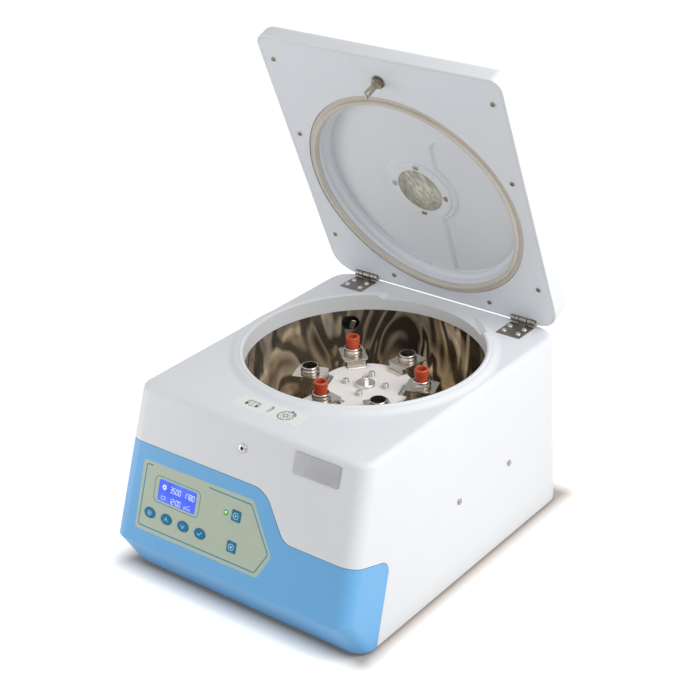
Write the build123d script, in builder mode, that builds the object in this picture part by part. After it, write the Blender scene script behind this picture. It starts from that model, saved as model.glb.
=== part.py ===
from build123d import *
import math
import os

os.makedirs("parts", exist_ok=True)

# Bench-top laboratory centrifuge with a six-place swing-out rotor, lid open.
# Millimetres. Origin on the bench under the rotor axis, +X right, +Y rear, +Z up.

# ---- main heights above the bench ----
foot_height = 4.0
bevel_height = 54.5
deck_height = 230.0
crest_rise = 6.5
crest_height = deck_height + crest_rise

# ---- housing ----
body_half_width = 167.0
side_draft = 0.029
body_front = 215.3
front_slope = 0.331
bevel_slope = 0.62
body_rear = 176.0
rear_draft = 0.018
front_corner_radius = 20.0
rear_corner_radius = 32.0
least_corner_radius = 4.0
deck_edge_radius = 8.0
housing_wall = 5.5
deck_thickness = 5.0
fascia_thickness = 2.7
seam_gap = 0.5
ledge_height = 6.0
ledge_thickness = 3.0
ledge_width = 9.0
fit_gap = 0.1
slide_gap = 0.05
cut_margin = 1.0
join_depth = 0.5
shank_join = 0.2
region_reach = 400.0
region_margin = 40.0
ground_margin = 20.0
hex_sides = 6
lean = math.atan(front_slope)
side_lean = math.atan(side_draft)
rear_lean = math.atan(rear_draft)

# ---- seam of the blue fascia ----
seam_left_height = deck_height - 61.2
seam_right_height = deck_height - 108.9
seam_step_left = 39.0
seam_step_right = 75.0
seam_upper_radius = 34.0
seam_lower_radius = 20.0
wrap_depth = 73.4
wrap_corner_radius = 15.0
wrap_split_x = 95.0

# ---- rim round the bowl ----
collar_inner_radius = 144.9
collar_outer_radius = 151.0
collar_bottom = deck_height - 15.6
bead_radius = 147.6
bead_half_width = 3.2
bead_top = crest_height + 0.4
bead_side_drop = 2.2
plateau_height = crest_height - 1.0
blend_radius = 163.5
channel_floor = deck_height - 0.8
channel_wall_angle = 40.0
channel_cut_height = 14.0
channel_corner_radius = 7.0
channel_corners = [
    (-68.5, 112.0),
    (-68.5, 141.0),
    (-84.0, 164.0),
    (-84.0, 178.0),
    (27.2, 178.0),
    (92.0, 112.5),
    (70.0, 96.0),
]

# ---- steel bowl ----
bowl_radius = 145.4
bowl_wall = 1.2
bowl_floor = deck_height - 146.0
bowl_corner_radius = 18.0
bowl_flange_radius = 152.0
bowl_shaft_hole = 23.0
port_angle = 134.5
port_height = deck_height - 33.5
port_width = 23.5
port_opening = 19.0
port_overlap = 8.0
sleeve_wall = 1.5
sleeve_length = 16.0
sensor_radius = 2.2
sensor_offset = -3.0
sensor_drop = 3.0
sensor_tilt = 25.0
sensor_head_width = 7.0
sensor_head_rise = 11.0
sensor_head_radius = 2.0
sensor_head_thickness = 2.2
sensor_setback = 9.0

# ---- drive ----
base_plate_thickness = 2.0
base_top = foot_height + base_plate_thickness
foot_radius = 11.0
foot_x = 138.0
foot_rear_y = 138.0
foot_front_y = -205.0
mount_radius = 10.0
mount_height = 12.0
mount_edge = 1.2
mount_spread = 62.0
leg_radius = 7.0
motor_plate_height = bowl_floor - 18.0
motor_plate_thickness = 4.0
motor_plate_side = 146.0
motor_plate_corner = 14.0
motor_radius = 45.0
motor_bottom = 14.0
motor_edge = 4.0
plate_hole_room = 6.0
hub_bottom = deck_height - 78.0
tower_bottom_radius = 22.0
tower_top_radius = 15.0
tower_top = hub_bottom - 4.0
tower_flange_radius = 34.0
tower_flange_thickness = 4.0
tower_taper_drop = 20.0
tower_boss_rise = 10.0
bearing_outer_radius = 11.0
bearing_width = 7.0
shaft_radius = 4.0
shaft_room = 1.0
shaft_bottom = 20.0
bearing_inner_radius = shaft_radius + slide_gap

# ---- rotor ----
disc_radius = 57.0
disc_thickness = 3.0
disc_top = deck_height - 47.3
disc_bottom = disc_top - disc_thickness
disc_bore_radius = shaft_radius + slide_gap
hub_neck_radius = 10.0
hub_flange_radius = 24.0
hub_flange_thickness = 4.0
hub_cone_depth = 5.0
washer_radius = 12.0
washer_edge = 0.6
washer_top = disc_top + 4.3
nut_across_flats = 8.2
nut_top = washer_top + 6.9
nut_edge = 0.4
shaft_tip_radius = 2.6
shaft_top = nut_top - 1.5
stud_count = 4
stud_circle_radius = 25.1
stud_start_angle = 19.05
stud_radius = 3.6
stud_bore_radius = 1.4
stud_height = 6.0
stud_edge = 0.5

# ---- swinging buckets ----
bucket_count = 6
bucket_start_angle = 79.46
pivot_radius = 48.0
pivot_height = disc_top - disc_thickness / 2
bar_radius = 1.5
bar_cut_room = 0.2
hook_gap = 0.06
hook_start_angle = -15.0
hook_end_angle = 200.0
# web that joins the hook to the hanger, measured from the pivot and the hanger's inner edge
web_start = 1.75
web_rise = 1.9
web_run = 3.0
web_drop = 0.4
web_end = 1.8
web_lift = 0.2
strip_thickness = 1.5
tab_width = 23.0
slot_width = 24.6
slot_inner_radius = 43.9
notch_flare = 20.0
hanger_inner = 51.0
hanger_outer = 89.0
hanger_width = 31.0
hanger_corner_radius = 3.0
hanger_top = pivot_height + 10.3
bucket_radial = 70.35
bucket_bore_radius = 9.35
bucket_outer_radius = 10.6
bucket_lip_radius = 10.4
bucket_bulge_radius = 11.5
bulge_start_rise = 0.6
bulge_rise = 3.6
lip_edge = 0.4
lip_edge_drop = 0.5
lip_drop = 1.8
bucket_top = pivot_height + 19.5
bucket_bottom = pivot_height - 82.7
bucket_floor = bucket_bottom + 2.0
bucket_bottom_radius = 4.0
bucket_inside_corner = 3.0

# ---- tube adapters in every second bucket ----
adapter_top = bucket_top + 14.5
adapter_ring_height = 7.5
adapter_ring_radius = 8.7
adapter_ring_step = 0.6
adapter_ring_edge = 1.0
adapter_ring_edge_drop = 1.2
adapter_hole_edge = 0.4
adapter_hole_edge_drop = 0.6
adapter_neck_radius = 7.7
adapter_body_radius = 9.3
adapter_body_top = bucket_top - 10.7
adapter_shoulder = 1.6
adapter_hole_radius = 6.0
adapter_hole_bottom = bucket_floor + 7.5
adapter_hole_corner = 3.0
adapter_bottom_corner = 3.5

# ---- control panel, measured on the leaned front face ----
overlay_thickness = 0.5
overlay_corner_radius = 4.0
overlay_corners = [
    (-139.3, deck_height - 78.6),
    (26.4, deck_height - 76.4),
    (61.5, deck_height - 128.5),
    (46.3, deck_height - 156.7),
    (-139.4, deck_height - 158.2),
]
lcd_left = -111.8
lcd_right = -54.3
lcd_bottom_height = deck_height - 117.8
lcd_top_height = deck_height - 93.6
lcd_corner_radius = 2.5
lcd_recess = 0.2
board_distance = 14.0
board_thickness = 1.6
board_x = -47.0
board_height = deck_height - 118.0
board_width = 172.0
board_rise = 82.0
board_corner_radius = 3.0
post_radius = 3.0
post_left_x = -128.0
post_right_x = 34.0
post_upper_height = deck_height - 84.0
post_lower_height = deck_height - 152.0
key_half_width = 8.3
key_half_rise = 6.2
key_row_height = deck_height - 135.7
key_spacing = 25.87
key_first_x = -119.6
key_proud = 0.9
key_edge_radius = 0.5
key_clearance = 0.3
key_flange = 1.2
key_flange_thickness = 1.2
key_stem_radius = 2.0
key_travel = 0.6
square_key_x = 5.5
square_key_side = 12.8
square_key_corner = 1.5
start_key_height = deck_height - 100.6
stop_key_height = deck_height - 135.4
led_x = -9.5
led_height = deck_height - 101.0
led_radius = 1.8
led_proud = 0.8
led_edge_radius = 0.7
name_plate_x = 103.15
name_plate_height = deck_height - 19.9
name_plate_width = 62.3
name_plate_rise = 24.9
name_plate_thickness = 1.0
name_plate_corner = 1.5
name_plate_edge = 0.3
bushing_height = deck_height - 26.7
bushing_flange_radius = 5.2
bushing_flange_thickness = 2.0
bushing_dome_radius = 1.6
bushing_radius = 3.1
bushing_bore_radius = 1.9
bushing_length = 12.0

# ---- deck label and latch ----
label_y = -177.0
label_width = 92.0
label_depth = 26.0
label_thickness = 0.3
label_corner = 1.5
slot_x = 5.0
slot_y = 13.0
slot_corner = 1.0
slot_margin = 0.4
latch_slot_y = -175.0
latch_block_width = 36.0
latch_block_depth = 24.0
latch_block_height = 34.0
latch_block_floor = 5.0
latch_block_wall = 7.0
bolt_radius = 1.9
bolt_height = deck_height - 15.0
bolt_setback = 0.6
bolt_length = 22.0
bolt_head_radius = 3.9
bolt_head_length = 4.0

# ---- hinges ----
hinge_y = 165.3
hinge_height = crest_height - 0.2
hinge_x = 119.5
knuckle_radius = 4.4
pin_radius = 1.5
knuckle_length = 10.0
knuckle_gap = 1.3
knuckle_groove_width = 0.8
knuckle_groove_depth = 0.7
knuckle_foot_depth = 7.4
knuckle_foot_setback = 1.5
knuckle_foot_drop = 2.7
hinge_width = 34.6
leaf_width = 32.5
leaf_front = 128.0
leaf_rear = 161.3
leaf_thickness = 1.5
leaf_rise = 17.5
lug_thickness = 3.0
lug_rise = 5.4
hinge_screw_y = 143.0
hinge_screw_spacing_x = 20.0
hinge_screw_spacing_y = 14.0
hinge_screw_head_radius = 3.2
hinge_screw_head_rise = 1.1
hinge_screw_shank_radius = 1.5
hinge_screw_edge = 0.7

# ---- lid, in its closed position above the crest ----
lid_open_angle = 68.1
lid_front = 209.5
lid_rear = 168.0
lid_front_corner = 15.0
lid_rear_corner = 32.0
lid_wall = 2.7
lid_face = -0.3
lid_front_rise = 25.0
lid_rear_rise = 31.0
lid_edge_radius = 12.0
liner_gap = 0.3
liner_thickness = 3.0
cup_radius = 142.0
cup_top = 22.8
gasket_seat_radius = 153.5
lid_side_margin = 16.0
lid_half_width = gasket_seat_radius + lid_side_margin
gasket_seat_top = 6.5
gasket_groove_radius = 150.8
gasket_groove_depth = 3.5
recess_radius = 138.8
recess_corner = 7.0
plateau_depth = 16.5
pocket_depth = 20.0
pocket_radius = 134.0
pocket_wall_angle = 38.0
hub_ring_radius = 42.0
hub_ring_depth = 14.0
hub_ring_draft = 1.0
hub_ring_edge = 0.4
hub_surround_radius = 47.0
fan_half_width = 27.0
rib_half_width = 18.0
fan_necks = [(fan_half_width + 2, -80.0), (-fan_half_width - 4, -80.0)]
fan_corners = [
    (-fan_half_width, -10.0),
    (fan_half_width, -10.0),
    fan_necks[0],
    (120.0, -100.0),
    (120.0, -180.0),
    (-120.0, -180.0),
    (-120.0, -103.0),
    fan_necks[1],
]
rib_corners = [
    (-rib_half_width, 10.0),
    (rib_half_width + 2, 10.0),
    (rib_half_width - 3, 150.0),
    (-rib_half_width + 3, 150.0),
]
fan_neck_round = 20.0
fan_corner_round = 8.0
rib_corner_round = 6.0
lid_opening_cut = 4.0
hinge_notch_overhang = 3.0
hinge_notch_depth = 6.0
hinge_notch_shift = 1.5
hinge_notch_room = 0.8
hinge_notch_end_room = 0.3
window_radius = 31.0
window_ledge_radius = 28.5
window_depth = hub_ring_depth + 0.5
window_thickness = 3.0
window_wall = 2.0
window_rim = 3.0
window_rim_top = lid_front_rise - 0.5
window_flange_thickness = 2.6
window_top = lid_front_rise + 2.6
clip_circle_radius = 36.5
clip_start_angle = 5.0
clip_count = 4
clip_width = 7.0
clip_depth = 5.0
clip_thickness = 0.8
gasket_inner_radius = 139.0
gasket_heel = 0.8
gasket_heel_rise = 1.0
gasket_lip_radius = 144.2
gasket_outer_radius = 150.4
gasket_lip_depth = -3.4
gasket_lip_round = 2.6
gasket_flange_depth = 0.6
gasket_edge = 0.6
boss_radius = 4.5
lid_screw_radius = 1.4
lid_screw_head = 2.9
lid_screw_head_rise = 1.0
lid_screw_length = 10.0
lid_screw_inset = 16.9
lid_screw_side_x = lid_half_width - lid_screw_inset
lid_screw_side_rows = [-175.8, -63.4, 103.1]
lid_screw_rear_x = 72.6
lid_screw_rear_y = gasket_seat_radius - 2.8
catch_y = -174.5
catch_thickness = 2.5
catch_width = 9.0
catch_length = 27.0
catch_window_height = -21.5
catch_window_width = 4.8
catch_window_rise = 6.2
catch_nut_radius = 8.5
catch_nut_height = 5.0
catch_nut_flange = 1.6
catch_nut_across_flats = 13.2
catch_stem_radius = 4.0
catch_stem_proud = 0.3
catch_head_radius = 7.0
catch_head_thickness = 2.0

# ---- power entry in the rear wall ----
entry_x = 96.0
entry_height = 70.0
entry_width = 30.0
entry_rise = 62.0
entry_flange = 4.0
entry_flange_thickness = 2.5
entry_corner = 3.0
entry_edge = 0.8
entry_depth = 24.0
inlet_rise_offset = 15.0
inlet_width = 24.0
inlet_rise = 16.0
inlet_corner = 2.5
inlet_recess = 15.0
pin_spacing = 7.0
pin_row_offset = 1.5
pin_width = 2.0
pin_rise = 4.0
pin_length = 12.0
rocker_drop = 19.0
rocker_width = 19.0
rocker_radius = 7.0
rocker_half_rise = 6.0
rocker_high_edge = 7.7
rocker_low_edge = 5.8
rocker_setback = 4.5
rocker_side_gap = 0.4
rocker_end_gap = 1.4
rocker_well_depth = 12.0
vent_x = 70.0
vent_spacing = 13.0
vent_count = 9
vent_length = 56.0
vent_width = 5.0

# ---- side screws ----
side_screw_height = deck_height - 124.5
side_screw_front_y = -50.6
side_screw_rear_y = 54.5
side_screw_radius = 3.6
side_screw_rise = 2.0
side_screw_dome = 1.4
side_screw_shank_radius = 1.9


def save(part, label):
    part.label = label
    export_step(part, "parts/" + label + ".step")


# Horizontal section of the housing, drawn inward by an inset.
def body_section(height, inset):
    drop = deck_height - height
    lean_drop = min(drop, deck_height - bevel_height)
    bevel_drop = max(bevel_height - height, 0)
    half = body_half_width + side_draft * drop - inset
    front = body_front + front_slope * lean_drop - bevel_slope * bevel_drop - inset
    rear = body_rear + rear_draft * drop - inset
    with BuildSketch(Plane.XY.offset(height)) as section:
        with BuildLine():
            Polyline((-half, -front), (half, -front), (half, rear), (-half, rear), close=True)
        make_face()
        fillet(section.vertices().group_by(Axis.Y)[0], max(front_corner_radius - inset, least_corner_radius))
        fillet(section.vertices().group_by(Axis.Y)[-1], max(rear_corner_radius - inset, least_corner_radius))
    return section.sketch


def body_solid(inset, bottom, top):
    heights = [bottom, top]
    if bottom < bevel_height < top:
        heights = [bottom, bevel_height, top]
    with BuildPart() as solid:
        loft([body_section(height, inset) for height in heights], ruled=True)
    return solid.part


# The leaned front face: local x is X, local y runs up the face.
def face_plane(distance):
    outward = Vector(0, -math.cos(lean), math.sin(lean))
    origin = Vector(0, -body_front, deck_height) + outward * distance
    return Plane(origin=origin, x_dir=(1, 0, 0), z_dir=outward)


def up_face(height):
    return (height - deck_height) / math.cos(lean)


def side_plane(side):
    outward = (side * math.cos(side_lean), 0, math.sin(side_lean))
    origin = (side * body_half_width, 0, deck_height)
    return Plane(origin=origin, x_dir=(0, side, 0), z_dir=outward)


def rear_plane(distance):
    outward = Vector(0, math.cos(rear_lean), math.sin(rear_lean))
    origin = Vector(0, body_rear, deck_height) + outward * distance
    return Plane(origin=origin, x_dir=(-1, 0, 0), z_dir=outward)


# Side view of the fascia: top edge square to the lean, rear edge parallel to it.
def wrap_band(seam, gap, left, right):
    front_at_seam = -(body_front + front_slope * (deck_height - seam))
    rear_low = -(body_front + front_slope * (deck_height + ground_margin)) + wrap_depth + gap
    rear_y = (front_at_seam + wrap_depth / (1 + front_slope**2)) + gap
    corner_z = seam + gap - front_slope * (rear_y - front_at_seam)
    with BuildPart() as band:
        with BuildSketch(Plane.YZ.offset(left)) as view:
            with BuildLine():
                Polyline(
                    (-region_reach, -ground_margin),
                    (rear_low, -ground_margin),
                    (rear_y, corner_z),
                    (-region_reach, seam + gap + front_slope * (region_reach + front_at_seam)),
                    close=True,
                )
            make_face()
            fillet(view.vertices().sort_by_distance((rear_y, corner_z, 0))[0], wrap_corner_radius)
        extrude(amount=right - left)
    return band.part


def fascia_region(gap):
    wide = body_half_width + region_margin
    halfway = (seam_left_height + seam_right_height) / 2
    with BuildPart() as region:
        with BuildSketch(Plane.XZ.offset(-body_rear)) as front_view:
            with BuildLine():
                Polyline(
                    (-wide, -ground_margin),
                    (wide, -ground_margin),
                    (wide, seam_right_height + gap),
                    (seam_step_right + gap, seam_right_height + gap),
                    (seam_step_left + gap, seam_left_height + gap),
                    (-wide, seam_left_height + gap),
                    close=True,
                )
            make_face()
            fillet(
                [v for v in front_view.vertices() if abs(v.X) < wide - 1 and v.Y > halfway],
                seam_upper_radius,
            )
            fillet(
                [v for v in front_view.vertices() if abs(v.X - seam_step_right) < 3],
                seam_lower_radius,
            )
        extrude(amount=body_front + body_rear + 90)
    bands = wrap_band(seam_left_height, gap, -wide, wrap_split_x) + wrap_band(
        seam_right_height, gap, wrap_split_x, wide
    )
    return region.part & bands


key_row = [key_first_x + key_spacing * index for index in range(4)]


def overlay_outline():
    with BuildSketch() as outline:
        with BuildLine():
            Polyline([(x, up_face(h)) for x, h in overlay_corners], close=True)
        make_face()
        fillet(outline.vertices(), overlay_corner_radius)
    return outline.sketch


def square_key_outline(clearance, height):
    side = square_key_side + 2 * clearance
    with BuildSketch() as outline:
        with Locations((square_key_x, up_face(height))):
            RectangleRounded(side, side, square_key_corner + clearance)
    return outline.sketch


def round_key_outline(clearance, x):
    with BuildSketch() as outline:
        with Locations((x, up_face(key_row_height))):
            Ellipse(key_half_width + clearance, key_half_rise + clearance)
    return outline.sketch


def lcd_outline(clearance):
    low = up_face(lcd_bottom_height)
    high = up_face(lcd_top_height)
    with BuildSketch() as outline:
        with Locations(((lcd_left + lcd_right) / 2, (low + high) / 2)):
            RectangleRounded(
                lcd_right - lcd_left + 2 * clearance,
                high - low + 2 * clearance,
                lcd_corner_radius + clearance,
            )
    return outline.sketch


def panel_openings():
    with BuildSketch() as openings:
        for x in key_row:
            add(round_key_outline(key_clearance, x))
        for height in (start_key_height, stop_key_height):
            add(square_key_outline(key_clearance, height))
        add(lcd_outline(fit_gap))
        with Locations((led_x, up_face(led_height))):
            Circle(led_radius + fit_gap)
    return openings.sketch


# ---------------- housing ----------------
fascia_zone = fascia_region(0)
seat_zone = fascia_region(seam_gap)
seat_floor = body_solid(fascia_thickness, foot_height - 1, deck_height)
wall_back = housing_wall * math.cos(lean)

with BuildPart() as upper_housing:
    add(body_solid(0, foot_height, deck_height))
    fillet(upper_housing.faces().sort_by(Axis.Z)[-1].edges(), deck_edge_radius)
    add(body_solid(housing_wall, foot_height, deck_height - deck_thickness), mode=Mode.SUBTRACT)
    with BuildSketch(Plane.XY.offset(deck_height - deck_thickness - cut_margin)):
        Circle(collar_inner_radius + cut_margin)
    extrude(amount=deck_thickness + 2 * cut_margin, mode=Mode.SUBTRACT)
    with BuildSketch(Plane.XZ) as collar_profile:
        with BuildLine():
            Spline(
                (bead_radius + bead_half_width, plateau_height),
                (blend_radius, deck_height),
                tangents=((1, 0), (1, 0)),
            )
            Polyline(
                (blend_radius, deck_height),
                (blend_radius, deck_height - deck_thickness),
                (collar_outer_radius, deck_height - deck_thickness),
                (collar_outer_radius, collar_bottom),
                (collar_inner_radius, collar_bottom),
                (collar_inner_radius, bead_top - bead_side_drop),
            )
            ThreePointArc(
                (collar_inner_radius, bead_top - bead_side_drop),
                (bead_radius, bead_top),
                (bead_radius + bead_half_width, plateau_height),
            )
        make_face()
    revolve(axis=Axis.Z)
    # shallow channel at the rear between the hinges
    with BuildSketch(Plane.XY.offset(channel_floor)) as channel:
        with BuildLine():
            Polyline(*channel_corners, close=True)
        make_face()
        for corner in channel_corners[1:3]:
            fillet(channel.vertices().sort_by_distance(corner)[0], channel_corner_radius)
    extrude(amount=channel_cut_height, taper=-channel_wall_angle, mode=Mode.SUBTRACT)
    # ledge that the base plate is screwed against
    add(body_solid(housing_wall - join_depth, ledge_height, ledge_height + ledge_thickness))
    add(
        body_solid(
            housing_wall + ledge_width,
            ledge_height - cut_margin,
            ledge_height + ledge_thickness + cut_margin,
        ),
        mode=Mode.SUBTRACT,
    )
    # openings of the control panel
    with BuildSketch(face_plane(-wall_back - 2 * cut_margin)):
        add(panel_openings())
    extrude(amount=wall_back + 5 * cut_margin, mode=Mode.SUBTRACT)
    # seat for the fascia
    add(seat_zone - seat_floor, mode=Mode.SUBTRACT)
    # posts that carry the control board
    with BuildSketch(face_plane(-board_distance)):
        for x in (post_left_x, post_right_x):
            with Locations((x, up_face(post_upper_height)), (x, up_face(post_lower_height))):
                Circle(post_radius)
    extrude(amount=board_distance - wall_back + join_depth)
    with BuildSketch(face_plane(-bushing_length)):
        with Locations((0, up_face(bushing_height))):
            Circle(bushing_radius + slide_gap)
    extrude(amount=bushing_length + 4 * cut_margin, mode=Mode.SUBTRACT)
    with BuildSketch(Plane.XY.offset(deck_height - deck_thickness - cut_margin)):
        with Locations((0, latch_slot_y)):
            RectangleRounded(slot_x, slot_y, slot_corner)
    extrude(amount=deck_thickness + 4 * cut_margin, mode=Mode.SUBTRACT)
    # power entry opening and cooling slots in the rear wall
    entry_v = (entry_height - deck_height) / math.cos(rear_lean)
    with BuildSketch(rear_plane(2 * cut_margin)):
        with Locations((-entry_x, entry_v)):
            Rectangle(entry_width + 2 * fit_gap, entry_rise + 2 * fit_gap)
        with Locations((vent_x, entry_v)):
            with GridLocations(vent_spacing, 0, vent_count, 1):
                SlotOverall(vent_length, vent_width, rotation=90)
    extrude(amount=-housing_wall - 6 * cut_margin, mode=Mode.SUBTRACT)
    screw_v = (side_screw_height - deck_height) / math.cos(side_lean)
    for side in (-1, 1):
        with BuildSketch(side_plane(side).offset(2 * cut_margin)):
            with Locations((side * side_screw_front_y, screw_v), (side * side_screw_rear_y, screw_v)):
                Circle(side_screw_shank_radius + fit_gap)
        extrude(amount=-housing_wall - 4 * cut_margin, mode=Mode.SUBTRACT)
save(upper_housing.part, "upper_housing")

with BuildPart() as front_fascia:
    add(body_solid(0, foot_height, seam_left_height + 2 * seam_upper_radius))
    add(fascia_zone, mode=Mode.INTERSECT)
    add(seat_floor, mode=Mode.SUBTRACT)
    with BuildSketch(face_plane(-overlay_thickness)):
        add(overlay_outline())
    extrude(amount=4 * cut_margin, mode=Mode.SUBTRACT)
    with BuildSketch(face_plane(-wall_back - cut_margin)):
        add(panel_openings())
    extrude(amount=wall_back + 4 * cut_margin, mode=Mode.SUBTRACT)
save(front_fascia.part, "front_fascia")

with BuildPart() as control_overlay:
    with BuildSketch(face_plane(-overlay_thickness)):
        add(overlay_outline())
        add(panel_openings(), mode=Mode.SUBTRACT)
    extrude(amount=overlay_thickness)
save(control_overlay.part, "control_overlay")

with BuildPart() as lcd_module:
    with BuildSketch(face_plane(-board_distance)):
        add(lcd_outline(0))
    extrude(amount=board_distance - lcd_recess)
save(lcd_module.part, "lcd_module")

with BuildPart() as status_led:
    with BuildSketch(face_plane(-board_distance)):
        with Locations((led_x, up_face(led_height))):
            Circle(led_radius)
    extrude(amount=board_distance + led_proud)
    fillet(status_led.edges().filter_by(GeomType.CIRCLE).sort_by(Axis.Y)[0], led_edge_radius)
save(status_led.part, "status_led")

with BuildPart() as control_board:
    with BuildSketch(face_plane(-board_distance)):
        with Locations((board_x, up_face(board_height))):
            RectangleRounded(board_width, board_rise, board_corner_radius)
    extrude(amount=-board_thickness)
save(control_board.part, "control_board")


# A key cap with a retaining flange behind the wall and a stem to its switch.
def key_cap(outline, flange, x, height):
    stem_bottom = board_distance - key_travel - fit_gap
    with BuildPart() as cap:
        with BuildSketch(face_plane(-wall_back - fit_gap)):
            add(outline)
        extrude(amount=wall_back + fit_gap + key_proud)
        fillet(cap.faces().sort_by(Axis.Y)[0].edges(), key_edge_radius)
        with BuildSketch(face_plane(-wall_back - fit_gap)):
            add(flange)
        extrude(amount=-key_flange_thickness)
        with BuildSketch(face_plane(-stem_bottom)):
            with Locations((x, up_face(height))):
                Circle(key_stem_radius)
        extrude(amount=stem_bottom - wall_back - key_flange_thickness + join_depth)
    return cap.part


for name, x in zip(("key_set", "key_up", "key_down", "key_enter"), key_row):
    save(
        key_cap(round_key_outline(0, x), round_key_outline(key_flange, x), x, key_row_height), name
    )
for name, height in (("key_start", start_key_height), ("key_stop", stop_key_height)):
    save(
        key_cap(
            square_key_outline(0, height),
            square_key_outline(key_flange, height),
            square_key_x,
            height,
        ),
        name,
    )

with BuildPart() as name_plate:
    with BuildSketch(face_plane(0)):
        with Locations((name_plate_x, up_face(name_plate_height))):
            RectangleRounded(name_plate_width, name_plate_rise, name_plate_corner)
    extrude(amount=name_plate_thickness)
    fillet(name_plate.faces().sort_by(Axis.Y)[0].edges(), name_plate_edge)
save(name_plate.part, "name_plate")

with BuildPart() as deck_label:
    with BuildSketch(Plane.XY.offset(deck_height)):
        with Locations((0, label_y)):
            RectangleRounded(label_width, label_depth, label_corner)
        with Locations((0, latch_slot_y)):
            RectangleRounded(
                slot_x + slot_margin, slot_y + slot_margin, slot_corner, mode=Mode.SUBTRACT
            )
    extrude(amount=label_thickness)
save(deck_label.part, "deck_label")

with BuildPart() as release_bushing:
    with BuildSketch(face_plane(0)):
        with Locations((0, up_face(bushing_height))):
            Circle(bushing_flange_radius)
    extrude(amount=bushing_flange_thickness)
    fillet(release_bushing.faces().sort_by(Axis.Y)[0].edges(), bushing_dome_radius)
    with BuildSketch(face_plane(join_depth)):
        with Locations((0, up_face(bushing_height))):
            Circle(bushing_radius)
    extrude(amount=-bushing_length)
    with BuildSketch(face_plane(bushing_flange_thickness + cut_margin)):
        with Locations((0, up_face(bushing_height))):
            Circle(bushing_bore_radius)
    extrude(amount=-bushing_length - 4 * cut_margin, mode=Mode.SUBTRACT)
save(release_bushing.part, "release_bushing")

with BuildPart() as side_screws:
    for side in (-1, 1):
        spots = [(side * side_screw_front_y, screw_v), (side * side_screw_rear_y, screw_v)]
        with BuildSketch(side_plane(side)):
            with Locations(*spots):
                Circle(side_screw_radius)
        extrude(amount=side_screw_rise)
        with BuildSketch(side_plane(side)):
            with Locations(*spots):
                Circle(side_screw_shank_radius)
        extrude(amount=-housing_wall - 3)
    by_side = side_screws.faces().sort_by(Axis.X)
    for outer in by_side[0:2] + by_side[-2:]:
        fillet(outer.edges(), side_screw_dome)
save(side_screws.part, "side_screws")

# ---------------- base and drive ----------------
with BuildPart() as base_plate:
    add(body_solid(housing_wall + fit_gap, foot_height, foot_height + base_plate_thickness))
save(base_plate.part, "base_plate")

with BuildPart() as feet:
    with Locations(*[(x, y, 0) for x in (-foot_x, foot_x) for y in (foot_rear_y, foot_front_y)]):
        Cylinder(foot_radius, foot_height, align=(Align.CENTER, Align.CENTER, Align.MIN))
    fillet(feet.edges().group_by(Axis.Z)[0], 1.0)
save(feet.part, "feet")

with BuildPart() as motor_mounts:
    with BuildSketch(Plane.XY.offset(base_top)):
        with GridLocations(2 * mount_spread, 2 * mount_spread, 2, 2):
            Circle(mount_radius)
    extrude(amount=mount_height)
    fillet(motor_mounts.edges(), mount_edge)
save(motor_mounts.part, "motor_mounts")

with BuildPart() as motor_plate:
    with BuildSketch(Plane.XY.offset(motor_plate_height)):
        RectangleRounded(motor_plate_side, motor_plate_side, motor_plate_corner)
        Circle(shaft_radius + plate_hole_room, mode=Mode.SUBTRACT)
    extrude(amount=motor_plate_thickness)
    with BuildSketch(Plane.XY.offset(base_top + mount_height)):
        with GridLocations(2 * mount_spread, 2 * mount_spread, 2, 2):
            Circle(leg_radius)
    extrude(amount=motor_plate_height - base_top - mount_height)
save(motor_plate.part, "motor_plate")

with BuildPart() as motor_case:
    with Locations((0, 0, motor_bottom)):
        Cylinder(
            motor_radius,
            motor_plate_height - motor_bottom,
            align=(Align.CENTER, Align.CENTER, Align.MIN),
        )
    fillet(motor_case.edges().group_by(Axis.Z)[0], motor_edge)
    with Locations((0, 0, shaft_bottom - cut_margin)):
        Cylinder(
            shaft_radius + shaft_room,
            motor_plate_height,
            align=(Align.CENTER, Align.CENTER, Align.MIN),
            mode=Mode.SUBTRACT,
        )
save(motor_case.part, "motor_case")

plate_top = motor_plate_height + motor_plate_thickness
with BuildPart() as bearing_tower:
    with BuildSketch(Plane.XZ):
        with BuildLine():
            Polyline(
                (shaft_radius + shaft_room, plate_top),
                (tower_flange_radius, plate_top),
                (tower_flange_radius, plate_top + tower_flange_thickness),
                (tower_bottom_radius, plate_top + tower_flange_thickness),
                (tower_bottom_radius, bowl_floor + tower_boss_rise),
                (tower_top_radius, tower_top - tower_taper_drop),
                (tower_top_radius, tower_top),
                (bearing_outer_radius, tower_top),
                (bearing_outer_radius, tower_top - bearing_width),
                (shaft_radius + shaft_room, tower_top - bearing_width),
                close=True,
            )
        make_face()
    revolve(axis=Axis.Z)
    with Locations((0, 0, plate_top)):
        Cylinder(
            bearing_outer_radius,
            bearing_width,
            align=(Align.CENTER, Align.CENTER, Align.MIN),
            mode=Mode.SUBTRACT,
        )
save(bearing_tower.part, "bearing_tower")

with BuildPart() as shaft_bearings:
    for height in (plate_top, tower_top - bearing_width):
        with BuildSketch(Plane.XY.offset(height)):
            Circle(bearing_outer_radius)
            Circle(bearing_inner_radius, mode=Mode.SUBTRACT)
        extrude(amount=bearing_width)
save(shaft_bearings.part, "shaft_bearings")

with BuildPart() as motor_shaft:
    with BuildSketch(Plane.XY.offset(shaft_bottom)):
        Circle(shaft_radius)
    extrude(amount=washer_top - shaft_bottom)
    with BuildSketch(Plane.XY.offset(washer_top)):
        Circle(shaft_tip_radius)
    extrude(amount=shaft_top - washer_top)
    chamfer(motor_shaft.edges().sort_by(Axis.Z)[-1], nut_edge)
save(motor_shaft.part, "motor_shaft")

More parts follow.
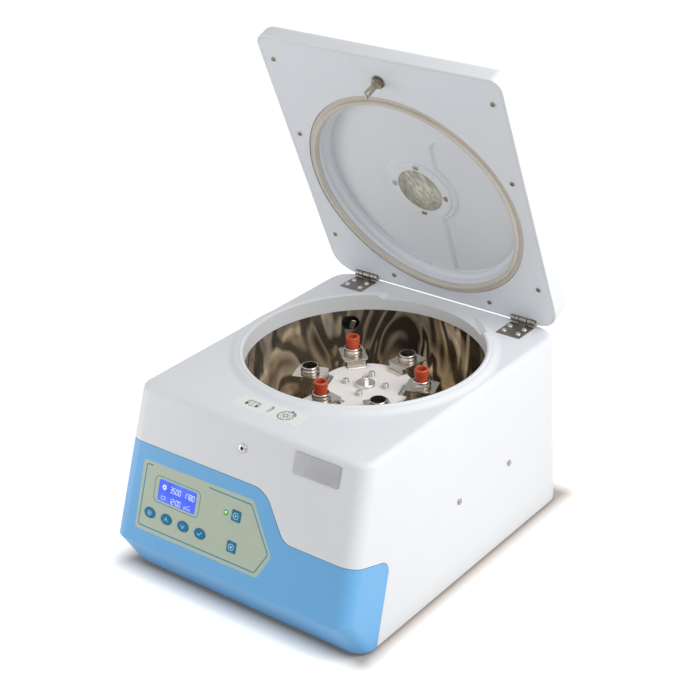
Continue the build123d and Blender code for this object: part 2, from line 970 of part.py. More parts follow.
# ---------------- bowl ----------------
with BuildPart() as steel_bowl:
    outer = bowl_radius + bowl_wall
    with BuildSketch(Plane.XZ) as bowl_profile:
        with BuildLine():
            Polyline(
                (bowl_shaft_hole, bowl_floor - bowl_wall),
                (outer, bowl_floor - bowl_wall),
                (outer, collar_bottom - bowl_wall),
                (bowl_flange_radius, collar_bottom - bowl_wall),
                (bowl_flange_radius, collar_bottom),
                (bowl_radius, collar_bottom),
                (bowl_radius, bowl_floor),
                (bowl_shaft_hole, bowl_floor),
                close=True,
            )
        make_face()
        corners = [v for v in bowl_profile.vertices() if v.X > bowl_radius - 1 and v.Y < bowl_floor + 1]
        fillet([v for v in corners if v.Y > bowl_floor - 0.1], bowl_corner_radius)
        corners = [v for v in bowl_profile.vertices() if v.X > outer - 0.1 and v.Y < bowl_floor]
        fillet(corners, bowl_corner_radius + bowl_wall)
    revolve(axis=Axis.Z)
    port_direction = Vector(
        math.cos(math.radians(port_angle)), math.sin(math.radians(port_angle)), 0
    )
    port_plane = Plane(
        origin=port_direction * (bowl_radius - port_overlap) + Vector(0, 0, port_height),
        x_dir=(-port_direction.Y, port_direction.X, 0),
        z_dir=port_direction,
    )
    with BuildSketch(port_plane):
        SlotOverall(port_width, port_opening)
    extrude(amount=2 * port_overlap + bowl_wall, mode=Mode.SUBTRACT)
save(steel_bowl.part, "steel_bowl")

with BuildPart() as exhaust_sleeve:
    with BuildSketch(port_plane):
        SlotOverall(port_width + 2 * sleeve_wall, port_opening + 2 * sleeve_wall)
    extrude(amount=port_overlap + sleeve_length)
    with BuildSketch(port_plane):
        SlotOverall(port_width, port_opening)
    extrude(amount=port_overlap + sleeve_length - sleeve_wall, mode=Mode.SUBTRACT)
    with Locations((0, 0, port_height)):
        Cylinder(bowl_radius + bowl_wall, 4 * port_opening, mode=Mode.SUBTRACT)
save(exhaust_sleeve.part, "exhaust_sleeve")

sensor_plane = Plane(
    origin=port_plane.from_local_coords((sensor_offset, -sensor_drop, sensor_setback)),
    x_dir=port_plane.x_dir,
    z_dir=port_plane.z_dir,
)
with BuildPart() as bowl_sensor:
    with BuildSketch(sensor_plane.offset(sensor_head_thickness / 2)):
        Circle(sensor_radius)
    extrude(amount=port_overlap + sleeve_length - sleeve_wall - sensor_setback - sensor_head_thickness)
    with BuildSketch(sensor_plane):
        with Locations(Location((0, 0, 0), (0, 0, sensor_tilt))):
            RectangleRounded(sensor_head_width, sensor_head_rise, sensor_head_radius)
    extrude(amount=sensor_head_thickness)
    head_faces = bowl_sensor.faces().sort_by(Axis(sensor_plane.origin, sensor_plane.z_dir))
    fillet(head_faces[0].edges(), sensor_head_thickness / 3)
save(bowl_sensor.part, "bowl_sensor")


# ---------------- rotor ----------------
def radial_plane(angle):
    turn = math.radians(angle)
    return Plane(
        origin=(0, 0, 0),
        x_dir=(math.cos(turn), math.sin(turn), 0),
        z_dir=(math.sin(turn), -math.cos(turn), 0),
    )


bucket_angles = [bucket_start_angle + 360 / bucket_count * index for index in range(bucket_count)]

with BuildPart() as rotor_disc:
    with BuildSketch(Plane.XY.offset(disc_bottom)):
        Circle(disc_radius)
        Circle(disc_bore_radius, mode=Mode.SUBTRACT)
        flare = (disc_radius - pivot_radius) * math.tan(math.radians(notch_flare))
        bar_outer = pivot_radius + bar_radius
        bar_inner = pivot_radius - bar_radius
        half_slot = slot_width / 2
        for angle in bucket_angles:
            with Locations(Location((0, 0, 0), (0, 0, angle))):
                with BuildSketch(mode=Mode.PRIVATE) as cutout:
                    with BuildLine():
                        Polyline(
                            (bar_outer, -half_slot),
                            (disc_radius + 4, -half_slot - flare),
                            (disc_radius + 4, half_slot + flare),
                            (bar_outer, half_slot),
                            close=True,
                        )
                    make_face()
                    with Locations(((bar_inner + slot_inner_radius) / 2, 0)):
                        Rectangle(bar_inner - slot_inner_radius, slot_width)
                add(cutout.sketch, mode=Mode.SUBTRACT)
    extrude(amount=disc_thickness)
    # round each hanging bar
    for angle in bucket_angles:
        with BuildPart(mode=Mode.PRIVATE) as bar_shaper:
            with BuildSketch(radial_plane(angle)):
                with Locations((pivot_radius, pivot_height)):
                    Rectangle(2 * (bar_radius + bar_cut_room), disc_thickness + cut_margin)
                    Circle(bar_radius, mode=Mode.SUBTRACT)
            extrude(amount=slot_width / 2, both=True)
        add(bar_shaper.part, mode=Mode.SUBTRACT)
save(rotor_disc.part, "rotor_disc")

with BuildPart() as rotor_hub:
    with BuildSketch(Plane.XZ):
        with BuildLine():
            Polyline(
                (disc_bore_radius, hub_bottom),
                (hub_neck_radius, hub_bottom),
                (hub_neck_radius, disc_bottom - hub_flange_thickness - hub_cone_depth),
                (hub_flange_radius, disc_bottom - hub_flange_thickness),
                (hub_flange_radius, disc_bottom),
                (disc_bore_radius, disc_bottom),
                close=True,
            )
        make_face()
    revolve(axis=Axis.Z)
save(rotor_hub.part, "rotor_hub")

with BuildPart() as rotor_washer:
    with BuildSketch(Plane.XZ):
        with BuildLine():
            Polyline(
                (disc_bore_radius, disc_top),
                (washer_radius, disc_top),
                (washer_radius, washer_top - washer_edge),
                (washer_radius - washer_edge, washer_top),
                (disc_bore_radius, washer_top),
                close=True,
            )
        make_face()
    revolve(axis=Axis.Z)
save(rotor_washer.part, "rotor_washer")

with BuildPart() as rotor_nut:
    with BuildSketch(Plane.XY.offset(washer_top)):
        RegularPolygon(nut_across_flats / 2, hex_sides, major_radius=False)
    extrude(amount=nut_top - washer_top)
    chamfer(rotor_nut.edges().group_by(Axis.Z)[-1], nut_edge)
    with BuildSketch(Plane.XY.offset(washer_top)):
        Circle(shaft_tip_radius + slide_gap)
    extrude(amount=nut_top - washer_top + cut_margin, mode=Mode.SUBTRACT)
save(rotor_nut.part, "rotor_nut")

with BuildPart() as rotor_studs:
    with BuildSketch(Plane.XY.offset(disc_top)):
        with PolarLocations(stud_circle_radius, stud_count, start_angle=stud_start_angle):
            Circle(stud_radius)
            Circle(stud_bore_radius, mode=Mode.SUBTRACT)
    extrude(amount=stud_height)
    chamfer(rotor_studs.edges().group_by(Axis.Z)[-1].filter_by(GeomType.CIRCLE), stud_edge)
save(rotor_studs.part, "rotor_studs")


# One swing-out bucket: hanger plate with a rolled hook, welded to a deep steel cup.
def make_bucket(angle):
    hook_inner = bar_radius + hook_gap
    hook_outer = hook_inner + strip_thickness
    hanger_bottom = hanger_top - strip_thickness
    start = math.radians(hook_start_angle)
    end = math.radians(hook_end_angle)
    middle = (start + end) / 2

    def polar(radius, turn):
        return (pivot_radius + radius * math.cos(turn), pivot_height + radius * math.sin(turn))

    plane = radial_plane(angle)
    with BuildPart() as bucket:
        with BuildSketch(plane):
            with BuildLine():
                ThreePointArc(
                    polar(hook_outer, start), polar(hook_outer, middle), polar(hook_outer, end)
                )
                Line(polar(hook_outer, end), polar(hook_inner, end))
                ThreePointArc(
                    polar(hook_inner, end), polar(hook_inner, middle), polar(hook_inner, start)
                )
                Line(polar(hook_inner, start), polar(hook_outer, start))
            make_face()
            with BuildLine():
                Polyline(
                    (pivot_radius + web_start, pivot_height + web_rise),
                    (pivot_radius + web_run, hanger_bottom + web_lift),
                    (hanger_inner + web_end, hanger_bottom + web_lift),
                    (pivot_radius + web_run, pivot_height + web_drop),
                    close=True,
                )
            make_face()
        extrude(amount=tab_width / 2, both=True)
        turn = Location((0, 0, 0), (0, 0, angle))
        with BuildSketch(Plane.XY.offset(hanger_bottom)):
            with Locations(turn):
                with Locations(((hanger_inner + hanger_outer) / 2, 0)):
                    RectangleRounded(
                        hanger_outer - hanger_inner, hanger_width, hanger_corner_radius
                    )
        extrude(amount=strip_thickness)
        axis = Axis(
            (
                bucket_radial * math.cos(math.radians(angle)),
                bucket_radial * math.sin(math.radians(angle)),
                0,
            ),
            (0, 0, 1),
        )
        with BuildSketch(plane):
            with BuildLine():
                Polyline(
                    (bucket_radial, bucket_bottom),
                    (bucket_radial + bucket_outer_radius - bucket_bottom_radius, bucket_bottom),
                    (bucket_radial + bucket_outer_radius, bucket_bottom + bucket_bottom_radius),
                    (bucket_radial + bucket_outer_radius, hanger_top + bulge_start_rise),
                )
                Spline(
                    (bucket_radial + bucket_outer_radius, hanger_top + bulge_start_rise),
                    (bucket_radial + bucket_bulge_radius, hanger_top + bulge_rise),
                    (bucket_radial + bucket_lip_radius - lip_edge, bucket_top - lip_drop),
                    (bucket_radial + bucket_lip_radius, bucket_top - lip_edge_drop),
                )
                Polyline(
                    (bucket_radial + bucket_lip_radius, bucket_top - lip_edge_drop),
                    (bucket_radial + bucket_lip_radius - lip_edge, bucket_top),
                    (bucket_radial, bucket_top),
                    (bucket_radial, bucket_bottom),
                )
            make_face()
        revolve(axis=axis)
        with BuildSketch(plane):
            with BuildLine():
                Polyline(
                    (bucket_radial, bucket_floor),
                    (bucket_radial + bucket_bore_radius - bucket_inside_corner, bucket_floor),
                    (bucket_radial + bucket_bore_radius, bucket_floor + bucket_inside_corner),
                    (bucket_radial + bucket_bore_radius, bucket_top + cut_margin),
                    (bucket_radial, bucket_top + cut_margin),
                    close=True,
                )
            make_face()
        revolve(axis=axis, mode=Mode.SUBTRACT)
    return bucket.part


def make_adapter(angle):
    plane = radial_plane(angle)
    ring_bottom = adapter_top - adapter_ring_height
    with BuildPart() as adapter:
        with BuildSketch(plane):
            with BuildLine():
                Polyline(
                    (bucket_radial, bucket_floor),
                    (bucket_radial + adapter_body_radius - adapter_bottom_corner, bucket_floor),
                    (bucket_radial + adapter_body_radius, bucket_floor + adapter_bottom_corner),
                    (bucket_radial + adapter_body_radius, adapter_body_top),
                    (bucket_radial + adapter_neck_radius, adapter_body_top + adapter_shoulder),
                    (bucket_radial + adapter_neck_radius, ring_bottom - adapter_ring_step),
                    (bucket_radial + adapter_ring_radius, ring_bottom),
                    (bucket_radial + adapter_ring_radius, adapter_top - adapter_ring_edge_drop),
                    (bucket_radial + adapter_ring_radius - adapter_ring_edge, adapter_top),
                    (bucket_radial + adapter_hole_radius + adapter_hole_edge, adapter_top),
                    (bucket_radial + adapter_hole_radius, adapter_top - adapter_hole_edge_drop),
                    (
                        bucket_radial + adapter_hole_radius,
                        adapter_hole_bottom + adapter_hole_corner,
                    ),
                    (
                        bucket_radial + adapter_hole_radius - adapter_hole_corner,
                        adapter_hole_bottom,
                    ),
                    (bucket_radial, adapter_hole_bottom),
                    close=True,
                )
            make_face()
        turn = math.radians(angle)
        revolve(
            axis=Axis(
                (bucket_radial * math.cos(turn), bucket_radial * math.sin(turn), 0), (0, 0, 1)
            )
        )
    return adapter.part


for index, angle in enumerate(bucket_angles):
    save(make_bucket(angle), "bucket_" + str(index + 1))
    if index % 2 == 1:
        save(make_adapter(angle), "tube_adapter_" + str(index + 1))

# ---------------- latch in the deck ----------------
latch_top = deck_height - deck_thickness
with BuildPart() as latch_block:
    with Locations((0, latch_slot_y, latch_top)):
        Box(
            latch_block_width,
            latch_block_depth,
            latch_block_height,
            align=(Align.CENTER, Align.CENTER, Align.MAX),
        )
    with Locations((0, latch_slot_y, latch_top + cut_margin)):
        Box(
            slot_x,
            slot_y,
            latch_block_height - latch_block_floor + cut_margin,
            align=(Align.CENTER, Align.CENTER, Align.MAX),
            mode=Mode.SUBTRACT,
        )
    with BuildSketch(Plane.YZ.offset(-latch_block_width / 2 - cut_margin)):
        with Locations((latch_slot_y, bolt_height)):
            Circle(bolt_radius + slide_gap)
    extrude(amount=latch_block_width + cut_margin - latch_block_wall, mode=Mode.SUBTRACT)
save(latch_block.part, "latch_block")

bolt_tip_x = -slot_x / 2 - bolt_setback
with BuildPart() as latch_bolt:
    with BuildSketch(Plane.YZ.offset(bolt_tip_x)):
        with Locations((latch_slot_y, bolt_height)):
            Circle(bolt_radius)
    extrude(amount=-bolt_length)
    with BuildSketch(Plane.YZ.offset(bolt_tip_x - bolt_length)):
        with Locations((latch_slot_y, bolt_height)):
            Circle(bolt_head_radius)
    extrude(amount=-bolt_head_length)
save(latch_bolt.part, "latch_bolt")

# ---------------- power entry ----------------
inlet_v = entry_v + inlet_rise_offset
rocker_v = entry_v - rocker_drop
with BuildPart() as power_inlet:
    with BuildSketch(rear_plane(0)):
        with Locations((-entry_x, entry_v)):
            RectangleRounded(
                entry_width + 2 * entry_flange, entry_rise + 2 * entry_flange, entry_corner
            )
    extrude(amount=entry_flange_thickness)
    fillet(power_inlet.faces().sort_by(Axis.Y)[-1].edges(), entry_edge)
    with BuildSketch(rear_plane(join_depth)):
        with Locations((-entry_x, entry_v)):
            Rectangle(entry_width, entry_rise)
    extrude(amount=-entry_depth)
    with BuildSketch(rear_plane(4 * cut_margin)):
        with Locations((-entry_x, inlet_v)):
            RectangleRounded(inlet_width, inlet_rise, inlet_corner)
    extrude(amount=-4 * cut_margin - inlet_recess, mode=Mode.SUBTRACT)
    with BuildSketch(rear_plane(4 * cut_margin)):
        with Locations((-entry_x, rocker_v)):
            Rectangle(rocker_width + 2 * rocker_side_gap, 2 * (rocker_radius + rocker_end_gap))
    extrude(amount=-4 * cut_margin - rocker_well_depth, mode=Mode.SUBTRACT)
save(power_inlet.part, "power_inlet")

with BuildPart() as inlet_pins:
    with BuildSketch(rear_plane(-inlet_recess)):
        for row, column in ((-1, -1), (1, 0), (-1, 1)):
            with Locations((-entry_x + pin_spacing * column, inlet_v + pin_row_offset * row)):
                Rectangle(pin_width, pin_rise)
    extrude(amount=pin_length)
save(inlet_pins.part, "inlet_pins")

with BuildPart() as power_switch:
    rocker_up = rear_plane(0).y_dir
    rocker_origin = rear_plane(0).from_local_coords((-entry_x, rocker_v, -rocker_setback))
    rocker_plane = Plane(origin=rocker_origin, x_dir=rocker_up, z_dir=(-1, 0, 0))
    with BuildSketch(rocker_plane):
        Circle(rocker_radius)
        with BuildLine():
            Polyline(
                (-rocker_half_rise, 0),
                (-rocker_half_rise, rocker_high_edge),
                (0, rocker_low_edge),
                (rocker_half_rise, rocker_low_edge),
                (rocker_half_rise, 0),
                close=True,
            )
        make_face()
    extrude(amount=rocker_width / 2, both=True)
save(power_switch.part, "power_switch")


# ---------------- hinges ----------------
def knuckle_end(middle, length):
    return Plane(origin=(middle - length / 2, hinge_y, hinge_height), x_dir=(0, 1, 0), z_dir=(1, 0, 0))


hinge_screw_grid = [
    (side * hinge_x + column * hinge_screw_spacing_x / 2, hinge_screw_y + row * hinge_screw_spacing_y / 2)
    for side in (-1, 1)
    for column in (-1, 1)
    for row in (-1, 1)
]

for name, middle in (("hinge_base_left", -hinge_x), ("hinge_base_right", hinge_x)):
    with BuildPart() as hinge_base:
        with Locations((middle, (leaf_front + leaf_rear) / 2, deck_height)):
            Box(
                leaf_width,
                leaf_rear - leaf_front,
                leaf_thickness,
                align=(Align.CENTER, Align.CENTER, Align.MIN),
            )
        with Locations((middle, hinge_y - knuckle_foot_setback, deck_height)):
            Box(
                knuckle_length,
                knuckle_foot_depth,
                hinge_height - deck_height - knuckle_foot_drop,
                align=(Align.CENTER, Align.CENTER, Align.MIN),
            )
        with BuildSketch(knuckle_end(middle, knuckle_length)):
            Circle(knuckle_radius)
        extrude(amount=knuckle_length)
        with BuildSketch(knuckle_end(middle, knuckle_length + 4)):
            Circle(pin_radius + slide_gap)
        extrude(amount=knuckle_length + 4, mode=Mode.SUBTRACT)
        with BuildSketch(Plane.XY.offset(deck_height)):
            with Locations(*[spot for spot in hinge_screw_grid if spot[0] * middle > 0]):
                Circle(hinge_screw_shank_radius + fit_gap)
        extrude(amount=leaf_thickness, mode=Mode.SUBTRACT)
    save(hinge_base.part, name)

with BuildPart() as hinge_screws:
    with BuildSketch(Plane.XY.offset(deck_height)):
        with Locations(*hinge_screw_grid):
            Circle(hinge_screw_shank_radius)
    extrude(amount=leaf_thickness + shank_join)
    with BuildSketch(Plane.XY.offset(deck_height + leaf_thickness)):
        with Locations(*hinge_screw_grid):
            Circle(hinge_screw_head_radius)
    extrude(amount=hinge_screw_head_rise)
    fillet(hinge_screws.edges().group_by(Axis.Z)[-1], hinge_screw_edge)
save(hinge_screws.part, "hinge_screws")

with BuildPart() as hinge_pins:
    for middle in (-hinge_x, hinge_x):
        with BuildSketch(knuckle_end(middle, hinge_width)):
            Circle(pin_radius)
        extrude(amount=hinge_width)
save(hinge_pins.part, "hinge_pins")

# ---------------- lid, turned open about the hinge axis ----------------
open_turn = math.radians(lid_open_angle)
lid_y_dir = Vector(0, math.cos(open_turn), -math.sin(open_turn))
lid_z_dir = Vector(0, math.sin(open_turn), math.cos(open_turn))


# World position of a point given in closed-lid coordinates, w above the crest.
def lid_point(x, y, w):
    pivot = Vector(0, hinge_y, hinge_height)
    rise = w + crest_height - hinge_height
    return pivot + Vector(x, 0, 0) + lid_y_dir * (y - hinge_y) + lid_z_dir * rise


def lid_plane(w):
    return Plane(origin=lid_point(0, 0, w), x_dir=(1, 0, 0), z_dir=lid_z_dir)


lid_section = Plane(origin=lid_point(0, 0, 0), x_dir=(1, 0, 0), z_dir=lid_y_dir * -1)
lid_axis = Axis(lid_point(0, 0, 0), lid_z_dir)


def lid_outline(inset):
    half = lid_half_width - inset
    with BuildSketch() as outline:
        with BuildLine():
            Polyline(
                (-half, -lid_front + inset),
                (half, -lid_front + inset),
                (half, lid_rear - inset),
                (-half, lid_rear - inset),
                close=True,
            )
        make_face()
        fillet(outline.vertices().group_by(Axis.Y)[0], lid_front_corner - inset)
        fillet(outline.vertices().group_by(Axis.Y)[-1], lid_rear_corner - inset)
    return outline.sketch


def lid_block(inset, drop):
    tilt = math.atan((lid_rear_rise - lid_front_rise) / (lid_front + lid_rear))
    normal = lid_z_dir * math.cos(tilt) - lid_y_dir * math.sin(tilt)
    top = Plane(
        origin=lid_point(0, -lid_front, lid_front_rise - drop), x_dir=(1, 0, 0), z_dir=normal
    )
    with BuildPart() as block:
        with BuildSketch(lid_plane(lid_face)):
            add(lid_outline(inset))
        extrude(amount=lid_rear_rise + ground_margin)
        split(bisect_by=top, keep=Keep.BOTTOM)
        top_face = block.faces().sort_by(Axis(top.origin, normal))[-1]
        fillet(top_face.edges(), lid_edge_radius - inset)
    return block.part


lid_screw_spots = [
    (side * lid_screw_side_x, y) for side in (-1, 1) for y in lid_screw_side_rows
] + [(side * lid_screw_rear_x, lid_screw_rear_y) for side in (-1, 1)]


def hinge_notches():
    with BuildPart() as notches:
        with BuildSketch(lid_plane(lid_face - hinge_notch_overhang)):
            with Locations(*[(side * hinge_x, hinge_y + hinge_notch_shift) for side in (-1, 1)]):
                Rectangle(
                    hinge_width + 2 * hinge_notch_room, 3 * knuckle_radius + hinge_notch_end_room
                )
        extrude(amount=hinge_notch_overhang + hinge_notch_depth)
    return notches.part


with BuildPart() as screw_bosses:
    with BuildSketch(lid_plane(lid_face + liner_thickness)):
        with Locations(*lid_screw_spots):
            Circle(boss_radius)
    extrude(amount=lid_rear_rise)
    add(lid_block(lid_wall / 2, lid_wall / 2), mode=Mode.INTERSECT)

with BuildPart() as lid_shell:
    add(lid_block(0, 0))
    add(lid_block(lid_wall, lid_wall), mode=Mode.SUBTRACT)
    with BuildSketch(lid_plane(lid_face - cut_margin)):
        add(lid_outline(lid_wall))
    extrude(amount=lid_opening_cut, mode=Mode.SUBTRACT)
    add(screw_bosses.part)
    with BuildSketch(lid_plane(lid_face + liner_thickness - cut_margin)):
        with Locations(*lid_screw_spots):
            Circle(lid_screw_radius + fit_gap)
    extrude(amount=lid_screw_length, mode=Mode.SUBTRACT)
    with BuildSketch(lid_plane(cup_top)):
        Circle(window_radius + 2 * fit_gap)
    extrude(amount=lid_rear_rise, mode=Mode.SUBTRACT)
    add(hinge_notches(), mode=Mode.SUBTRACT)
save(lid_shell.part, "lid_shell")


def pocket_outline():
    with BuildSketch() as pockets:
        Circle(pocket_radius)
        Circle(hub_surround_radius, mode=Mode.SUBTRACT)
        for corners in (fan_corners, rib_corners):
            with BuildLine():
                Polyline(*corners, close=True)
            make_face(mode=Mode.SUBTRACT)
        for neck in fan_necks:
            fillet(pockets.vertices().sort_by_distance((*neck, 0))[0], fan_neck_round)
        hub_limit = hub_surround_radius + cut_margin
        near_hub = [v for v in pockets.vertices() if math.hypot(v.X, v.Y) < hub_limit]
        fillet([v for v in near_hub if v.Y < 0], fan_corner_round)
        near_hub = [v for v in pockets.vertices() if math.hypot(v.X, v.Y) < hub_limit]
        fillet([v for v in near_hub if v.Y > 0], rib_corner_round)
        rim_limit = pocket_radius - cut_margin
        fillet([v for v in pockets.vertices() if math.hypot(v.X, v.Y) > rim_limit], rib_corner_round)
    return pockets.sketch


with BuildPart() as lid_liner:
    with BuildSketch(lid_plane(lid_face)):
        add(lid_outline(lid_wall + liner_gap))
    extrude(amount=liner_thickness)
    with BuildSketch(lid_plane(lid_face + liner_thickness)):
        Circle(gasket_seat_radius)
    extrude(amount=gasket_seat_top - lid_face - liner_thickness)
    with BuildSketch(lid_plane(gasket_seat_top)):
        Circle(cup_radius)
    extrude(amount=cup_top - gasket_seat_top)
    with BuildSketch(lid_plane(cup_top)):
        Circle(window_radius + window_rim)
    extrude(amount=window_rim_top - cup_top)
    # round recess, gasket groove, two pockets and the hub ring
    with BuildSketch(lid_section):
        with BuildLine():
            Polyline(
                (0, lid_face - 1),
                (gasket_groove_radius, lid_face - 1),
                (gasket_groove_radius, gasket_groove_depth),
                (recess_radius, gasket_groove_depth),
                (recess_radius, plateau_depth - recess_corner),
            )
            RadiusArc(
                (recess_radius, plateau_depth - recess_corner),
                (recess_radius - recess_corner, plateau_depth),
                recess_corner,
            )
            Polyline(
                (recess_radius - recess_corner, plateau_depth),
                (hub_ring_radius + hub_ring_draft, plateau_depth),
                (hub_ring_radius, hub_ring_depth + hub_ring_edge),
                (hub_ring_radius - hub_ring_edge, hub_ring_depth),
                (0, hub_ring_depth),
                (0, lid_face - cut_margin),
            )
        make_face()
    revolve(axis=lid_axis, mode=Mode.SUBTRACT)
    with BuildSketch(lid_plane(plateau_depth - fit_gap)):
        add(pocket_outline())
    extrude(
        amount=pocket_depth - plateau_depth + fit_gap,
        taper=pocket_wall_angle,
        mode=Mode.SUBTRACT,
    )
    with BuildSketch(lid_plane(hub_ring_depth - cut_margin)):
        Circle(window_radius + fit_gap)
    extrude(
        amount=window_depth + window_thickness - hub_ring_depth + cut_margin, mode=Mode.SUBTRACT
    )
    with BuildSketch(lid_plane(hub_ring_depth)):
        Circle(window_ledge_radius)
    extrude(amount=cup_top, mode=Mode.SUBTRACT)
    with BuildSketch(lid_plane(lid_face - cut_margin)):
        with Locations(*lid_screw_spots):
            Circle(lid_screw_radius + fit_gap)
        with Locations((0, catch_y)):
            Circle(catch_stem_radius + slide_gap)
    extrude(amount=liner_thickness + 2 * cut_margin, mode=Mode.SUBTRACT)
    add(hinge_notches(), mode=Mode.SUBTRACT)
save(lid_liner.part, "lid_liner")

with BuildPart() as lid_gasket:
    with BuildSketch(lid_section):
        with BuildLine():
            Polyline(
                (gasket_inner_radius + gasket_heel, gasket_groove_depth),
                (gasket_inner_radius, gasket_groove_depth - gasket_heel_rise),
                (gasket_inner_radius, gasket_lip_depth + gasket_lip_round),
            )
            ThreePointArc(
                (gasket_inner_radius, gasket_lip_depth + gasket_lip_round),
                ((gasket_inner_radius + gasket_lip_radius) / 2, gasket_lip_depth),
                (gasket_lip_radius, gasket_lip_depth + gasket_lip_round),
            )
            Polyline(
                (gasket_lip_radius, gasket_lip_depth + gasket_lip_round),
                (gasket_lip_radius, gasket_flange_depth),
                (gasket_outer_radius - gasket_edge, gasket_flange_depth),
                (gasket_outer_radius, gasket_flange_depth + gasket_edge),
                (gasket_outer_radius, gasket_groove_depth),
                (gasket_inner_radius + gasket_heel, gasket_groove_depth),
            )
        make_face()
    revolve(axis=lid_axis)
save(lid_gasket.part, "lid_gasket")

with BuildPart() as window_lens:
    lens_top = window_depth + window_thickness
    with BuildSketch(lid_plane(window_depth)):
        Circle(window_radius)
    extrude(amount=window_thickness)
    with BuildSketch(lid_plane(lens_top)):
        Circle(window_ledge_radius - 2 * fit_gap)
        Circle(window_ledge_radius - window_wall, mode=Mode.SUBTRACT)
    extrude(amount=window_top - lens_top - window_flange_thickness / 2)
    with BuildSketch(lid_plane(window_top - window_flange_thickness)):
        Circle(window_radius - fit_gap)
        Circle(window_ledge_radius - window_wall, mode=Mode.SUBTRACT)
    extrude(amount=window_flange_thickness)
save(window_lens.part, "window_lens")

with BuildPart() as window_clips:
    with BuildSketch(lid_plane(hub_ring_depth)):
        with PolarLocations(clip_circle_radius, clip_count, start_angle=clip_start_angle):
            RectangleRounded(clip_depth, clip_width, 1)
    extrude(amount=-clip_thickness)
save(window_clips.part, "window_clips")

with BuildPart() as lid_screws:
    with BuildSketch(lid_plane(lid_face)):
        with Locations(*lid_screw_spots):
            Circle(lid_screw_head)
    extrude(amount=-lid_screw_head_rise)
    with BuildSketch(lid_plane(lid_face - shank_join)):
        with Locations(*lid_screw_spots):
            Circle(lid_screw_radius)
    extrude(amount=lid_screw_length)
save(lid_screws.part, "lid_screws")

nut_face = lid_face - catch_nut_flange
with BuildPart() as latch_nut:
    with BuildSketch(lid_plane(lid_face)):
        with Locations((0, catch_y)):
            Circle(catch_nut_radius)
            Circle(catch_stem_radius + slide_gap, mode=Mode.SUBTRACT)
    extrude(amount=-catch_nut_flange)
    with BuildSketch(lid_plane(nut_face)):
        with Locations((0, catch_y)):
            RegularPolygon(catch_nut_across_flats / 2, hex_sides, major_radius=False)
            Circle(catch_stem_radius + slide_gap, mode=Mode.SUBTRACT)
    extrude(amount=catch_nut_flange - catch_nut_height)
save(latch_nut.part, "latch_nut")

stem_end = lid_face - catch_nut_height - catch_stem_proud
with BuildPart() as catch_plate:
    with BuildSketch(lid_plane(stem_end)):
        with Locations((0, catch_y)):
            Circle(catch_stem_radius)
    extrude(amount=lid_face + liner_thickness - stem_end + cut_margin)
    with BuildSketch(lid_plane(lid_face + liner_thickness)):
        with Locations((0, catch_y)):
            Circle(catch_head_radius)
    extrude(amount=catch_head_thickness)
    with BuildSketch(lid_plane(stem_end + shank_join)):
        with Locations((0, catch_y)):
            Rectangle(catch_thickness, catch_width)
    extrude(amount=lid_face - catch_length - stem_end - shank_join)
    catch_side = Plane(
        origin=lid_point(-catch_width / 2, catch_y, catch_window_height),
        x_dir=lid_y_dir,
        z_dir=(1, 0, 0),
    )
    with BuildSketch(catch_side):
        Rectangle(catch_window_width, catch_window_rise)
    extrude(amount=catch_width, mode=Mode.SUBTRACT)
save(catch_plate.part, "catch_plate")

for name, middle in (("hinge_lid_left", -hinge_x), ("hinge_lid_right", hinge_x)):
    outer_length = (hinge_width - knuckle_length) / 2 - knuckle_gap
    with BuildPart() as hinge_lid:
        for side in (-1, 1):
            centre = middle + side * (hinge_width - outer_length) / 2
            with BuildSketch(knuckle_end(centre, outer_length)):
                Circle(knuckle_radius)
            extrude(amount=outer_length)
            with BuildSketch(lid_plane(0)):
                with Locations((centre, hinge_y)):
                    Rectangle(outer_length, lug_thickness)
            extrude(amount=lug_rise)
            with BuildSketch(knuckle_end(centre, knuckle_groove_width)):
                Circle(knuckle_radius + lug_thickness)
                Circle(knuckle_radius - knuckle_groove_depth, mode=Mode.SUBTRACT)
            extrude(amount=knuckle_groove_width, mode=Mode.SUBTRACT)
        with BuildSketch(lid_plane(lug_rise - join_depth)):
            with Locations((middle, hinge_y - leaf_thickness / 2)):
                Rectangle(leaf_width, leaf_thickness)
        extrude(amount=leaf_rise - lug_rise)
        with BuildSketch(knuckle_end(middle, hinge_width + 4)):
            Circle(pin_radius)
        extrude(amount=hinge_width + 4, mode=Mode.SUBTRACT)
    save(hinge_lid.part, name)
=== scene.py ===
import math

import bmesh
import bpy
from mathutils import Matrix, Vector


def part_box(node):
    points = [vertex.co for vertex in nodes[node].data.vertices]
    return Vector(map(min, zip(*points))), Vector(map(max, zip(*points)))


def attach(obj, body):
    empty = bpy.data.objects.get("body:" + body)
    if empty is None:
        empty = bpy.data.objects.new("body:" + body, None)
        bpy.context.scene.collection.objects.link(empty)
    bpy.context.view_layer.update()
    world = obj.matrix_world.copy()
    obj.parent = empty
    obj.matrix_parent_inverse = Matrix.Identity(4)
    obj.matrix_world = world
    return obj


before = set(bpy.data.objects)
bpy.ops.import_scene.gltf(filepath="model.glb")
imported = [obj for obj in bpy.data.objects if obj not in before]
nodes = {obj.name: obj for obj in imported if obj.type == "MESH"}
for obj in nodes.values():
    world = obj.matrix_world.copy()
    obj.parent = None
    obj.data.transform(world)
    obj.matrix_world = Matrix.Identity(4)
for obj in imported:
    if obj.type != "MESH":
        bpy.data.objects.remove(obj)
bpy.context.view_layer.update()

mm = 0.001      # pieces are sized in mm, shaders and the studio in metres


